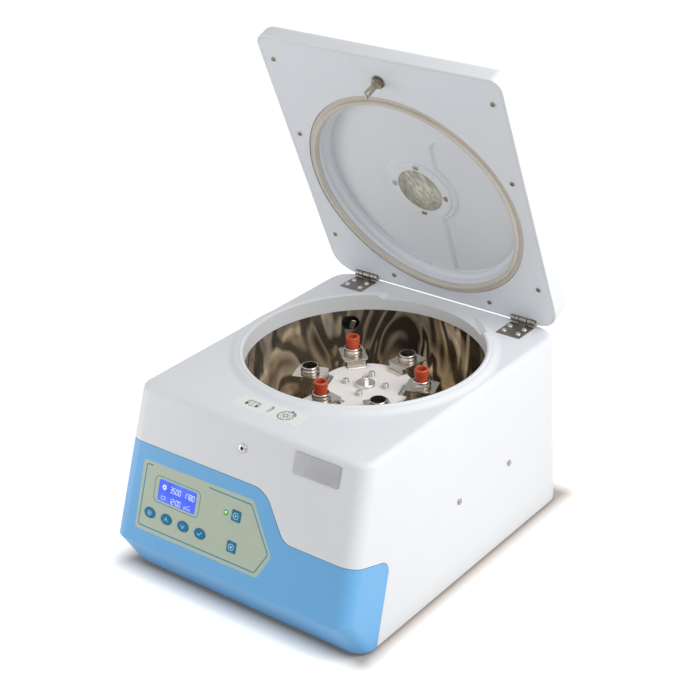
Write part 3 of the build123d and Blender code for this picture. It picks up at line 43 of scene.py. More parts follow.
# shader sums, written as plain expressions on sockets
class Wire:
    def __init__(self, socket):
        self.socket = socket
        self.tree = socket.id_data

    def make(self, kind, settings=None, sockets=None, out=0):
        node = self.tree.nodes.new(kind)
        for name, value in (settings or {}).items():
            if name == "stops":
                band = node.color_ramp.elements
                while len(band) < len(value):
                    band.new(0.5)
                for stop, (spot, tint) in zip(band, value):
                    stop.position = spot
                    stop.color = (*tint, 1.0)
            else:
                setattr(node, name, value)
        for name, value in (sockets or {}).items():
            if isinstance(value, Wire):
                self.tree.links.new(value.socket, node.inputs[name])
            else:
                node.inputs[name].default_value = value
        return Wire(node.outputs[out]) if len(node.outputs) else node

    def maths(self, operation, other=None):
        values = {0: self}
        if other is not None:
            values[1] = other
        return self.make("ShaderNodeMath", {"operation": operation}, values)

    def __add__(self, other):
        return self.maths("ADD", other)

    __radd__ = __add__

    def __sub__(self, other):
        return self.maths("SUBTRACT", other)

    def __rsub__(self, other):
        return self.make("ShaderNodeMath", {"operation": "SUBTRACT"}, {0: other, 1: self})

    def __mul__(self, other):
        return self.maths("MULTIPLY", other)

    __rmul__ = __mul__

    def part(self, axis):
        return self.make("ShaderNodeSeparateXYZ", None, {0: self}, out="XYZ".index(axis))

    def stretched(self, sizes):
        return self.make("ShaderNodeMapping", None, {"Vector": self, "Scale": sizes})

    def cloud(self, scale, detail=2.0, roughness=0.5, distortion=0.0):
        sockets = {"Vector": self, "Scale": scale, "Detail": detail, "Roughness": roughness}
        sockets["Distortion"] = distortion
        return self.make("ShaderNodeTexNoise", None, sockets)

    def between(self, low, high, newLow=0.0, newHigh=1.0):
        sockets = {"Value": self, "From Min": low, "From Max": high}
        sockets.update({"To Min": newLow, "To Max": newHigh})
        return self.make("ShaderNodeMapRange", None, sockets)

    def evened(self, newLow=0.0, newHigh=1.0):
        return self.between(0.3, 0.7, newLow, newHigh)      # a noise keeps mostly between these two

    def tint(self, colourA, colourB):
        a = colourA if isinstance(colourA, Wire) else (*colourA, 1.0)
        b = colourB if isinstance(colourB, Wire) else (*colourB, 1.0)
        return self.make("ShaderNodeMix", {"data_type": "RGBA"}, {0: self, 6: a, 7: b}, out=2)

    def ramp(self, stops):
        return self.make("ShaderNodeValToRGB", {"stops": stops}, {0: self})

    def bumped(self, strength, distance, under=None):
        sockets = {"Height": self, "Strength": strength, "Distance": distance}
        if under is not None:
            sockets["Normal"] = under
        return self.make("ShaderNodeBump", None, sockets)


def newFinish(name):
    finish = bpy.data.materials.new(name)
    finish.use_nodes = True
    finish.node_tree.nodes.clear()
    place = Wire(finish.node_tree.nodes.new("ShaderNodeTexCoord").outputs["Object"])
    return finish, place


def settle(finish, place, sockets):
    surface = place.make("ShaderNodeBsdfPrincipled", None, sockets)
    place.make("ShaderNodeOutputMaterial", None, {"Surface": surface})
    return finish


# finishes: what a piece's look leaves out comes from the base
plasticBase = {"driftScale": 9.0, "driftShare": 0.6, "fleckScale": 900.0, "fleckShare": 0.4,
               "fleckBand": (0.35, 0.65), "grainScale": 1500.0, "grain": 0.12, "grainDepth": 0.0002,
               "waveScale": 60.0, "wave": 0.05, "waveDepth": 0.001, "glossier": 0.04, "duller": 0.05,
               "specular": 0.45, "subsurface": 0.0, "subsurfaceReach": (0.004, 0.004, 0.004)}
steelBase = {"lay": "blasted", "lines": 1800.0, "lineShare": 0.45, "smearScale": 30.0,
             "smearShare": 0.55, "smearBand": (0.32, 0.68), "bite": 0.15, "biteDepth": 0.0001,
             "glossier": 0.05, "duller": 0.07, "metal": 1.0}


def mouldedPlastic(name, changes):
    look = {**plasticBase, **changes}
    finish, place = newFinish(name)
    drift = place.cloud(look["driftScale"], detail=3.0)
    fleck = place.cloud(look["fleckScale"]).between(*look["fleckBand"])
    tone = drift.evened() * look["driftShare"] + fleck * look["fleckShare"]
    skin = place.cloud(look["grainScale"]).bumped(look["grain"], look["grainDepth"])
    skin = place.cloud(look["waveScale"], detail=1.0).bumped(look["wave"], look["waveDepth"], skin)
    return settle(finish, place, {
        "Base Color": tone.tint(look["shade"], look["colour"]),
        "Roughness": drift.evened(look["roughness"] - look["glossier"], look["roughness"] + look["duller"]),
        "Specular IOR Level": look["specular"],
        "Subsurface Weight": look["subsurface"],
        "Subsurface Radius": look["subsurfaceReach"],
        "Normal": skin,
    })


def workedSteel(name, changes):
    # lay: "turned" rings round the upright axis, "drawn" lines along an axis, "blasted" no lines
    look = {**steelBase, **changes}
    finish, place = newFinish(name)
    if look["lay"] == "turned":
        east = place.part("X")
        north = place.part("Y")
        reach = (east * east + north * north).maths("SQRT")
        rings = {"W": reach, "Scale": look["lines"], "Detail": 3.0}
        scratch = place.make("ShaderNodeTexNoise", {"noise_dimensions": "1D"}, rings)
    elif look["lay"] == "drawn":
        scratch = place.stretched(look["along"]).cloud(look["lines"], detail=3.0, roughness=0.6)
    else:
        scratch = place.cloud(look["lines"], roughness=0.6)
    smear = place.cloud(look["smearScale"], detail=3.0, roughness=0.55, distortion=0.4)
    tone = scratch.evened() * look["lineShare"] + smear.between(*look["smearBand"]) * look["smearShare"]
    return settle(finish, place, {
        "Base Color": tone.tint(look["shade"], look["colour"]),
        "Metallic": look["metal"],
        "Roughness": smear.evened(look["roughness"] - look["glossier"], look["roughness"] + look["duller"]),
        "Normal": scratch.bumped(look["bite"], look["biteDepth"]),
    })


print("finishes ready")


def dress(node, finish):
    slots = nodes[node].material_slots
    if not len(slots):
        nodes[node].data.materials.append(finish)
    for slot in slots:
        slot.material = finish


plastics = {
    "housingWhite": dict(nodes=["upper_housing", "lid_shell"], colour=(0.85, 0.868, 0.89),
                         shade=(0.82, 0.838, 0.863), roughness=0.4, specular=0.3),
    "linerGrey": dict(nodes=["lid_liner"], colour=(0.8, 0.83, 0.875),
                      shade=(0.77, 0.8, 0.845), roughness=0.42, grain=0.2),
    "fasciaBlue": dict(nodes=["front_fascia"], colour=(0.17, 0.49, 0.86), shade=(0.155, 0.455, 0.82),
                       roughness=0.38),
    "overlayFilm": dict(nodes=["control_overlay"], colour=(0.525, 0.6, 0.475),
                        shade=(0.495, 0.565, 0.445), roughness=0.5, grain=0.3, grainScale=2600.0,
                        wave=0.02),
    "keyTeal": dict(nodes=["key_set", "key_up", "key_down", "key_enter", "key_start", "key_stop"],
                    colour=(0.002, 0.21, 0.4), shade=(0.002, 0.165, 0.33), roughness=0.4, wave=0.1,
                    specular=0.25),
    "adapterRed": dict(nodes=["tube_adapter_2", "tube_adapter_4", "tube_adapter_6"],
                       colour=(0.66, 0.1, 0.035), shade=(0.55, 0.075, 0.028), roughness=0.42,
                       subsurface=0.08, wave=0.12, driftScale=60.0),
    "gasketBeige": dict(nodes=["lid_gasket"], colour=(0.66, 0.615, 0.54), shade=(0.58, 0.535, 0.47),
                        roughness=0.55, grain=0.3, driftScale=25.0),
    "labelFilm": dict(nodes=["deck_label"], colour=(0.9, 0.915, 0.875), shade=(0.87, 0.885, 0.845),
                      roughness=0.45, grain=0.15, grainScale=2600.0),
    "rubberBlack": dict(nodes=["feet", "motor_mounts"], colour=(0.035, 0.035, 0.036),
                        shade=(0.02, 0.02, 0.021), roughness=0.7, grain=0.5),
    "mouldedBlack": dict(nodes=["latch_block", "power_inlet", "exhaust_sleeve"],
                         colour=(0.03, 0.031, 0.033), shade=(0.02, 0.021, 0.022), roughness=0.46,
                         grain=0.35),
    "rockerBlack": dict(nodes=["power_switch"], colour=(0.035, 0.035, 0.037),
                        shade=(0.026, 0.026, 0.028), roughness=0.28),
}
for name, look in plastics.items():
    finish = mouldedPlastic(name, look)
    for node in look["nodes"]:
        dress(node, finish)
print("plastics and rubbers dressed")

metals = {
    "discSteel": dict(nodes=["rotor_disc"], colour=(1.0, 0.965, 0.93),
                      shade=(0.95, 0.915, 0.88), roughness=0.5, lay="turned", lines=5200.0,
                      bite=0.12, metal=0.08),
    "turnedSteel": dict(nodes=["rotor_washer", "rotor_hub", "motor_shaft", "shaft_bearings"],
                        colour=(0.74, 0.72, 0.69), shade=(0.55, 0.53, 0.5), roughness=0.27,
                        lay="turned", lines=6500.0, bite=0.25),
    "studSteel": dict(nodes=["rotor_studs", "rotor_nut"], colour=(0.7, 0.67, 0.63),
                      shade=(0.5, 0.47, 0.43), roughness=0.3, smearScale=180.0),
    "bucketSteel": dict(nodes=["bucket_%d" % k for k in range(1, 7)], colour=(0.68, 0.635, 0.58),
                        shade=(0.42, 0.385, 0.34), roughness=0.24, smearScale=45.0, lines=2500.0),
    "hingeSteel": dict(nodes=["hinge_base_left", "hinge_base_right", "hinge_lid_left",
                              "hinge_lid_right"], colour=(0.36, 0.335, 0.305),
                       shade=(0.22, 0.2, 0.18), roughness=0.36, lay="drawn", along=(1, 14, 14),
                       lines=260.0),
    "pinSteel": dict(nodes=["hinge_pins", "hinge_screws", "latch_bolt"], colour=(0.82, 0.79, 0.73),
                     shade=(0.6, 0.57, 0.51), roughness=0.34, smearScale=200.0, metal=0.85),
    "catchSteel": dict(nodes=["catch_plate", "window_clips"], colour=(0.56, 0.51, 0.44),
                       shade=(0.36, 0.32, 0.26), roughness=0.34, smearScale=150.0),
    "nutSteel": dict(nodes=["latch_nut"], colour=(0.34, 0.31, 0.27), shade=(0.18, 0.16, 0.14),
                     roughness=0.36, smearScale=200.0),
    "bronzedSteel": dict(nodes=["lid_screws"], colour=(0.36, 0.29, 0.2), shade=(0.2, 0.16, 0.11),
                         roughness=0.38, smearScale=260.0),
    "sideSteel": dict(nodes=["side_screws"], colour=(0.46, 0.43, 0.4), shade=(0.24, 0.22, 0.2),
                      roughness=0.22, smearScale=200.0),
    "brightSteel": dict(nodes=["release_bushing", "bowl_sensor"],
                        colour=(0.7, 0.68, 0.65), shade=(0.42, 0.4, 0.37), roughness=0.2,
                        smearScale=160.0),
    "plateAluminium": dict(nodes=["name_plate"], colour=(0.36, 0.36, 0.37),
                           shade=(0.29, 0.29, 0.3), roughness=0.42, lay="drawn", along=(1, 40, 40),
                           lines=60.0, bite=0.3),
    "castAluminium": dict(nodes=["bearing_tower"], colour=(0.6, 0.61, 0.62), shade=(0.45, 0.46, 0.47),
                          roughness=0.45, lines=700.0, bite=0.4),
    "contactBrass": dict(nodes=["inlet_pins"], colour=(0.78, 0.62, 0.3), shade=(0.6, 0.46, 0.2),
                         roughness=0.3, smearScale=160.0),
    "zincSheet": dict(nodes=["base_plate", "motor_plate"], colour=(0.55, 0.56, 0.57),
                      shade=(0.38, 0.39, 0.4), roughness=0.42, smearScale=70.0),
    "motorPaint": dict(nodes=["motor_case"], colour=(0.09, 0.095, 0.1), shade=(0.05, 0.052, 0.055),
                       roughness=0.5, lines=900.0, bite=0.4),
}
for name, look in metals.items():
    finish = workedSteel(name, look)
    for node in look["nodes"]:
        dress(node, finish)
print("metals dressed")

# painted shade in the thin seam under the white housing: the blue front's upward edge faces take a
# near-black finish
seamShadeLook = {"colour": (0.035, 0.04, 0.05), "shade": (0.02, 0.022, 0.03), "roughness": 0.6,
            "upward": 0.5}


def paintSeamShade(node):
    piece = nodes[node]
    turned = piece.matrix_world.to_3x3()
    piece.data.materials.append(mouldedPlastic("paintedSeamShade", seamShadeLook))
    shadeSlot = len(piece.data.materials) - 1
    for face in piece.data.polygons:
        # upward faces of the blue front take the painted seam shade
        if (turned @ face.normal).normalized().z > seamShadeLook["upward"]:
            face.material_index = shadeSlot


paintSeamShade("front_fascia")

# spun bowl: polished steel with slow waves; its colour is painted reflection in bright, mid and dark bands,
# with painted shade towards the hinge side, a painted highlight on the left and one tone on the floor
bowlLook = {"bright": (1.0, 0.91, 0.76), "mid": (0.72, 0.6, 0.45), "dark": (0.065, 0.054, 0.042),
            "roughness": 0.08, "duller": 0.08, "metal": 0.7, "reflectionScale": 10.0,
            "rearPaintedShade": 0.1375, "rearRange": (-0.02, 0.13), "sideFade": 0.7, "sideRange": (0.02, 0.12),
            "leftPaintedLight": 0.14, "leftRange": (-0.14, -0.02), "floorTone": 0.57, "wallStart": (0.088, 0.125),
            "spinLines": 1400.0, "spin": 0.05, "spinDepth": 0.0001,
            "waveScale": 16.0, "wave": 0.35, "waveDepth": 0.004}
# bands of painted reflection, from the noise into the bowl's bright, mid and dark colours
bowlReflectionBands = [(0.3, "dark"), (0.4, "mid"), (0.44, "dark"), (0.5, "dark"), (0.54, "bright"),
             (0.59, "mid"), (0.64, "dark"), (0.72, "bright")]


def polishedBowl():
    finish, place = newFinish("polishedBowl")
    # painted reflection: stretched noise that sets the bands
    reflectionBands = place.stretched((1.0, 1.0, 0.4)).cloud(bowlLook["reflectionScale"], detail=1.6, distortion=2.4)
    aside = place.part("X").maths("ABSOLUTE").between(*bowlLook["sideRange"])
    # painted shade: darker towards the rear, less so at the sides
    depth = place.part("Y").between(*bowlLook["rearRange"]) * (1.0 - aside * bowlLook["sideFade"])
    wall = place.part("Z").between(*bowlLook["wallStart"])
    tone = (reflectionBands - depth * bowlLook["rearPaintedShade"]) * wall + (1.0 - wall) * bowlLook["floorTone"]
    steel = tone.ramp([(spot, bowlLook[shade]) for spot, shade in bowlReflectionBands])
    # painted highlight: the left side tinted towards the bright colour
    leftLightMask = place.part("X").between(*bowlLook["leftRange"], bowlLook["leftPaintedLight"], 0.0)
    spin = place.stretched((0.02, 0.02, 1.0)).cloud(bowlLook["spinLines"])
    wave = place.stretched((1.0, 1.0, 0.5)).cloud(bowlLook["waveScale"], detail=1.0, distortion=0.8)
    skin = spin.bumped(bowlLook["spin"], bowlLook["spinDepth"])
    return settle(finish, place, {
        "Base Color": leftLightMask.tint(steel, bowlLook["bright"]),
        "Metallic": bowlLook["metal"],
        "Roughness": reflectionBands.evened(bowlLook["roughness"], bowlLook["roughness"] + bowlLook["duller"]),
        "Normal": wave.bumped(bowlLook["wave"], bowlLook["waveDepth"], skin),
    })


dress("steel_bowl", polishedBowl())

# backlit display, status lamp, circuit board
displayLook = {"blue": (0.02, 0.07, 0.86), "edge": (0.05, 0.16, 1.0), "base": (0.01, 0.03, 0.25),
               "glow": 0.85, "glowScale": 45.0, "gloss": (0.16, 0.24), "coat": 0.4,
               "dotPitch": 0.00055, "dotRange": (0.75, 1.0), "dotShare": 0.22,
               "dotColour": (0.0, 0.02, 0.4)}
lampLook = {"core": (0.6, 0.85, 0.05), "rim": (0.1, 0.4, 0.06), "coreGlow": (0.85, 1.0, 0.02),
            "rimGlow": (0.1, 0.6, 0.02), "glow": 0.9, "fade": (0.0006, 0.0024), "grainScale": 800.0,
            "gloss": (0.18, 0.3)}
boardLook = {"dark": (0.012, 0.11, 0.04, 1.0), "light": (0.02, 0.15, 0.06, 1.0),
             "track": (0.08, 0.26, 0.1, 1.0), "trackScale": 260.0, "trackWidth": 0.03,
             "grainScale": 300.0, "gloss": (0.3, 0.5)}


def backlitPanel():
    finish, place = newFinish("backlitPanel")
    pitch = 2 * math.pi / displayLook["dotPitch"]
    columns, rows = ((place.part(axis) * pitch).maths("SINE").between(*displayLook["dotRange"])
                     for axis in "XZ")
    dots = columns.maths("MAXIMUM", rows)
    glow = place.cloud(displayLook["glowScale"], detail=1.0).evened()
    lit = glow.tint(displayLook["blue"], displayLook["edge"])
    lit = (dots * displayLook["dotShare"]).tint(lit, displayLook["dotColour"])
    return settle(finish, place, {
        "Base Color": (*displayLook["base"], 1.0),
        "Emission Color": lit,
        "Emission Strength": displayLook["glow"],
        "Roughness": glow.between(0.0, 1.0, *displayLook["gloss"]),
        "Coat Weight": displayLook["coat"],
    })


def lampLens():
    finish, place = newFinish("lampLens")
    low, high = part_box("status_led")
    crown = ((low.x + high.x) / 2, low.y, high.z)
    offset = place.make("ShaderNodeVectorMath", {"operation": "DISTANCE"}, {0: place, 1: crown}, out=1)
    glow = offset.between(*lampLook["fade"], 1.0, 0.0)
    return settle(finish, place, {
        "Base Color": glow.tint(lampLook["rim"], lampLook["core"]),
        "Emission Color": glow.tint(lampLook["rimGlow"], lampLook["coreGlow"]),
        "Emission Strength": lampLook["glow"],
        "Roughness": place.cloud(lampLook["grainScale"]).evened(*lampLook["gloss"]),
    })


def circuitBoard():
    finish, place = newFinish("circuitBoard")
    tracks = place.make("ShaderNodeTexBrick", {"offset": 0.5},
                        {"Vector": place, "Scale": boardLook["trackScale"],
                         "Mortar Size": boardLook["trackWidth"], "Color1": boardLook["dark"],
                         "Color2": boardLook["light"], "Mortar": boardLook["track"]})
    return settle(finish, place, {
        "Base Color": tracks,
        "Roughness": place.cloud(boardLook["grainScale"]).evened(*boardLook["gloss"]),
    })


dress("lcd_module", backlitPanel())
dress("status_led", lampLens())
dress("control_board", circuitBoard())
print("display, lamp and board dressed")


# geometry trees: built here, made plain meshes, modifier taken off again
def newTree(name, inputs):
    tree = bpy.data.node_groups.new(name, "GeometryNodeTree")
    face = tree.interface
    face.new_socket("Geometry", in_out="INPUT", socket_type="NodeSocketGeometry")
    for label, kind in inputs.items():
        face.new_socket(label, in_out="INPUT", socket_type="NodeSocket" + kind)
    face.new_socket("Geometry", in_out="OUTPUT", socket_type="NodeSocketGeometry")
    start = tree.nodes.new("NodeGroupInput")
    return tree, {socket.name: Wire(socket) for socket in start.outputs if socket.name}


def closeTree(shape, ink):
    solid = shape.make("GeometryNodeRealizeInstances", None, {0: shape})
    solid = solid.make("GeometryNodeSetMaterial", None, {"Geometry": solid, "Material": ink})
    solid.make("NodeGroupOutput", None, {0: solid})


def bareMesh(name, points, edges=(), faces=()):
    mesh = bpy.data.meshes.new(name)
    mesh.from_pydata([tuple(point) for point in points], list(edges), list(faces))
    piece = bpy.data.objects.new(name, mesh)
    bpy.context.scene.collection.objects.link(piece)
    return piece


def grown(piece, tree, values, frameOf=None):
    growth = piece.modifiers.new("growth", "NODES")
    growth.node_group = tree
    for item in tree.interface.items_tree:
        if item.item_type == "SOCKET" and item.in_out == "INPUT" and item.name in values:
            growth[item.identifier] = values[item.name]
    bpy.context.view_layer.update()
    depsgraph = bpy.context.evaluated_depsgraph_get()
    mesh = bpy.data.meshes.new_from_object(piece.evaluated_get(depsgraph))
    piece.modifiers.clear()
    piece.data = mesh
    if frameOf is not None:
        mesh.transform(frameOf)
    return piece


def joined(name, pieces, body, slot, smooth=None):
    gathered = bmesh.new()
    inks = []
    for piece in pieces:
        start = len(gathered.faces)
        gathered.from_mesh(piece.data)
        gathered.faces.ensure_lookup_table()
        for face in gathered.faces[start:]:
            ink = piece.data.materials[face.material_index]
            if ink not in inks:
                inks.append(ink)
            face.material_index = inks.index(ink)
    mesh = bpy.data.meshes.new(name)
    gathered.to_mesh(mesh)
    gathered.free()
    for ink in inks:
        mesh.materials.append(ink)
    for piece in pieces:
        bpy.data.objects.remove(piece)
    if smooth is not None:
        mesh.shade_smooth()
        mesh.set_sharp_from_angle(angle=math.radians(smooth))
    whole = bpy.data.objects.new(name, mesh)
    bpy.context.scene.collection.objects.link(whole)
    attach(whole, body)


# counts and a seed that the trees keep fixed
treeDetail = {"cornerSteps": 6, "beadSides": 8, "turnSeed": 7}

# a flat line of ink along a path of corners
lineTree, port = newTree("printedLine", {"Line width": "Float", "Corner radius": "Float",
                                         "Thickness": "Float", "Ink": "Material"})
path = port["Geometry"].make("GeometryNodeMeshToCurve", None, {"Mesh": port["Geometry"]})
path = path.make("GeometryNodeFilletCurve", {"mode": "POLY"},
                 {"Curve": path, "Count": treeDetail["cornerSteps"], "Radius": port["Corner radius"],
                  "Limit Radius": True})
path = path.make("GeometryNodeSetCurveNormal", {"mode": "Z_UP"}, {"Curve": path})
strip = path.make("GeometryNodeCurvePrimitiveQuadrilateral", None,
                  {"Width": port["Line width"], "Height": port["Thickness"]})
strip = path.make("GeometryNodeCurveToMesh", None,
                  {"Curve": path, "Profile Curve": strip, "Fill Caps": True})
closeTree(strip, port["Ink"])

# the same mark on every point, each turned at random about the upright
markTree, port = newTree("scatteredMarks", {"Mark": "Object", "Size": "Float",
                                            "Turn": "Float", "Ink": "Material"})
mark = port["Geometry"].make("GeometryNodeObjectInfo", None, {"Object": port["Mark"]}, out="Geometry")
spin = mark.make("FunctionNodeRandomValue", {"data_type": "FLOAT"},
                 {2: 0.0, 3: port["Turn"], "Seed": treeDetail["turnSeed"]}, out=1)
turn = spin.make("ShaderNodeCombineXYZ", None, {"Z": spin})
marks = mark.make("GeometryNodeInstanceOnPoints", None,
                  {"Points": port["Geometry"], "Instance": mark, "Rotation": turn,
                   "Scale": port["Size"]})
closeTree(marks, port["Ink"])

# rings stacked along the upright, each a step higher and a step wider, on every point
ringTree, port = newTree("stackedRings", {"Count": "Int", "Pitch": "Float", "Radius": "Float",
                                          "Growth": "Float", "Bead": "Float", "Sides": "Int",
                                          "Ink": "Material"})
column = port["Geometry"].make("GeometryNodeMeshLine", {"mode": "OFFSET"},
                               {"Count": port["Count"],
                                "Offset": port["Pitch"].make("ShaderNodeCombineXYZ", None,
                                                             {"Z": port["Pitch"]})})
circle = column.make("GeometryNodeCurvePrimitiveCircle", {"mode": "RADIUS"},
                     {"Resolution": port["Sides"], "Radius": 1.0})
step = column.make("GeometryNodeInputIndex")
width = step * port["Growth"] + port["Radius"]
rings = column.make("GeometryNodeInstanceOnPoints", None,
                    {"Points": column, "Instance": circle, "Scale": width})
rings = rings.make("GeometryNodeRealizeInstances", None, {0: rings})
bead = rings.make("GeometryNodeCurvePrimitiveCircle", {"mode": "RADIUS"},
                  {"Resolution": treeDetail["beadSides"], "Radius": port["Bead"]})
rings = rings.make("GeometryNodeCurveToMesh", None, {"Curve": rings, "Profile Curve": bead})
rings = rings.make("GeometryNodeInstanceOnPoints", None,
                   {"Points": port["Geometry"], "Instance": rings})
rings = rings.make("GeometryNodeSetShadeSmooth", None, {0: rings})
closeTree(rings, port["Ink"])
print("geometry trees ready")

# frames of the sloping face, the deck and the open lid
faceLook = {"slope": 0.331, "front": 215.3, "deck": 230.0}
lidLook = {"openAngle": 68.1, "hingeY": 165.3, "hingeZ": 236.3, "crest": 236.5}


def fromColumns(*columns):
    return Matrix([[column[row] for column in columns] for row in range(3)] + [[0, 0, 0, 1]])


def frameFrom(across, up, out, origin):
    return fromColumns(across, up, out, Vector(origin) * mm)


lean = math.atan(faceLook["slope"])
faceFrame = frameFrom((1, 0, 0), (0, math.sin(lean), math.cos(lean)),
                      (0, -math.cos(lean), math.sin(lean)),
                      (0, -faceLook["front"], faceLook["deck"]))
deckFrame = frameFrom((1, 0, 0), (0, 1, 0), (0, 0, 1), (0, 0, faceLook["deck"]))
openTurn = math.radians(lidLook["openAngle"])
lidUp = Vector((0, math.cos(openTurn), -math.sin(openTurn)))
lidOut = Vector((0, math.sin(openTurn), math.cos(openTurn)))
lidOrigin = Vector((0, lidLook["hingeY"], lidLook["hingeZ"])) - lidUp * lidLook["hingeY"]
lidOrigin += lidOut * (lidLook["crest"] - lidLook["hingeZ"])
lidFrame = frameFrom((1, 0, 0), lidUp, lidOut, lidOrigin)
lidInside = lidFrame @ Matrix.Rotation(math.pi, 4, "X")      # looking out of the open lid


# printed inks, in lines and filled patches that lie a little over them
inkLook = {"film": 0.08, "patchLift": 0.03, "teal": (0.03, 0.33, 0.45), "pale": (0.5, 0.8, 0.86),
           "dark": (0.05, 0.05, 0.055), "digit": (0.5, 0.62, 1.0), "palePaintedGlow": 0.05, "digitGlow": 0.75,
           "shade": 0.86, "grainScale": 3800.0, "grainBand": (0.35, 0.65), "gloss": (0.42, 0.55),
           "grain": 0.1, "grainDepth": 0.0001}


def inkFinish(name, colour, glow=0.0):
    finish, place = newFinish(name)
    grain = place.cloud(inkLook["grainScale"])
    tone = grain.between(*inkLook["grainBand"]).tint([c * inkLook["shade"] for c in colour], colour)
    return settle(finish, place, {
        "Base Color": tone,
        "Roughness": grain.evened(*inkLook["gloss"]),
        "Emission Color": tone,
        "Emission Strength": glow,
        "Normal": grain.bumped(inkLook["grain"], inkLook["grainDepth"]),
    })


tealInk = inkFinish("tealInk", inkLook["teal"])
# the pale ink of the key signs carries a faint painted glow
paleInk = inkFinish("paleInk", inkLook["pale"], inkLook["palePaintedGlow"])
darkInk = inkFinish("darkInk", inkLook["dark"])
digitInk = inkFinish("digitInk", inkLook["digit"], inkLook["digitGlow"])


def upFace(height):
    return (height - faceLook["deck"]) / math.cos(lean)


def inkPath(name, corners, ink, width, radius=0.0, closed=True, lift=0.0, frameOf=faceFrame):
    count = len(corners)
    edges = [(k, (k + 1) % count) for k in range(count if closed else count - 1)]
    line = bareMesh(name, [(x * mm, y * mm, lift * mm) for x, y in corners], edges)
    sizes = {"Line width": width * mm, "Corner radius": radius * mm,
             "Thickness": inkLook["film"] * mm, "Ink": ink}
    return grown(line, lineTree, sizes, frameOf)


def inkPatch(name, corners, ink, lift=0.0, frameOf=faceFrame):
    points = [(x * mm, y * mm, lift * mm) for x, y in corners]
    patch = bareMesh(name, points, (), [tuple(range(len(points)))])
    patch.data.materials.append(ink)
    patch.data.transform(frameOf)
    return patch


def roundSpots(x, y, radius, count=32, start=0.0, sweep=360.0):
    span = count if sweep >= 360 else count - 1
    return [(x + radius * math.cos(math.radians(start + sweep * k / span)),
             y + radius * math.sin(math.radians(start + sweep * k / span))) for k in range(count)]


def moved(spots, x, y):
    return [(x + spotX, y + spotY) for spotX, spotY in spots]


# overlay: border line with a bare gap at the upper left, a frame round the display, a ring at the lamp
overlayPrint = {"lineWidth": 1.5, "corner": 3.0, "frameWidth": 0.95, "frameCorner": 6.0,
                "lampRing": 2.75, "lampLine": 1.3, "lampX": -9.5, "lampHeight": 129.0, "lift": 0.03}
border = [(-38.3, 148.0), (24.2, 148.1), (56.7, 102.5), (42.0, 77.8), (-135.2, 76.9),
          (-134.0, 147.6), (-124.0, 147.7)]
windowFrame = [(-117.9, 109.4), (-48.7, 109.4), (-48.7, 139.1), (-117.9, 139.1)]
lampRing = roundSpots(overlayPrint["lampX"], upFace(overlayPrint["lampHeight"]), overlayPrint["lampRing"])
overlayInk = [
    inkPath("borderLine", [(x, upFace(h)) for x, h in border], tealInk, overlayPrint["lineWidth"],
            overlayPrint["corner"], closed=False, lift=overlayPrint["lift"]),
    inkPath("displayFrame", [(x, upFace(h)) for x, h in windowFrame], tealInk,
            overlayPrint["frameWidth"], overlayPrint["frameCorner"], lift=overlayPrint["lift"]),
    inkPath("lampRing", lampRing, tealInk, overlayPrint["lampLine"], lift=overlayPrint["lift"]),
]
joined("overlay_print", overlayInk, "housing", "control_overlay")

# display: plain digits, a disc sign, a tube sign and a raised-lid sign
segments = {"0": "abcdef", "1": "bc", "2": "abged", "3": "abgcd", "4": "fgbc", "5": "afgcd",
            "6": "afgedc", "7": "abc", "8": "abcdefg", "9": "abcdfg"}
digitSize = {"wide": 2.9, "tall": 6.3, "stroke": 0.85, "pitch": 4.25, "slant": 0.08, "gap": 0.1,
             "dotRises": (0.3, 0.66), "dotShare": 0.6, "dotSides": 12, "colonShare": 0.36}
displayPrint = {"lift": -0.12, "firstColumn": -94.3, "secondColumn": -73.3, "signColumn": -103.2,
                "upperRow": 125.5, "lowerRow": 113.4, "discRise": 3.2, "discRadius": 2.15,
                "discLine": 2.1, "signLine": 0.5, "tubeCorner": 0.6, "lidShift": 2.0}
tubeSign = [(-3.1, 1.3), (3.1, 1.3), (3.1, 4.9), (-3.1, 4.9)]
lidSign = [(9.0, 5.9), (0.0, 1.9), (0.0, 0.4), (9.5, 0.4), (9.5, 1.9), (0.0, 1.9)]


def digitPatches(text, x, y):
    wide, tall, stroke, slant = (digitSize[key] for key in ("wide", "tall", "stroke", "slant"))
    bars = {"a": (0, tall, wide, tall), "g": (0, tall / 2, wide, tall / 2), "d": (0, 0, wide, 0),
            "f": (0, tall / 2, 0, tall), "b": (wide, tall / 2, wide, tall),
            "e": (0, 0, 0, tall / 2), "c": (wide, 0, wide, tall / 2)}
    patches = []
    for sign in text:
        if sign == ":":
            for rise in digitSize["dotRises"]:
                spot = roundSpots(x + tall * rise * slant, y + tall * rise,
                                  stroke * digitSize["dotShare"], digitSize["dotSides"])
                patches.append(inkPatch("dot", spot, digitInk, displayPrint["lift"]))
            x += digitSize["pitch"] * digitSize["colonShare"]
            continue
        for bar in segments[sign]:
            x0, y0, x1, y1 = bars[bar]
            ends = Vector((x1 - x0, y1 - y0)).normalized()
            side = Vector((-ends.y, ends.x)) * stroke / 2
            tip = ends * stroke / 2
            near = Vector((x0, y0)) + ends * digitSize["gap"]
            far = Vector((x1, y1)) - ends * digitSize["gap"]
            shape = [near, near + tip - side, far - tip - side, far, far - tip + side, near + tip + side]
            spots = [(x + p.x + p.y * slant, y + p.y) for p in shape]
            patches.append(inkPatch("bar", spots, digitInk, displayPrint["lift"]))
        x += digitSize["pitch"]
    return patches


def displaySign(name, corners, width, radius=0.0, closed=True):
    return inkPath(name, corners, digitInk, width, radius, closed, displayPrint["lift"])


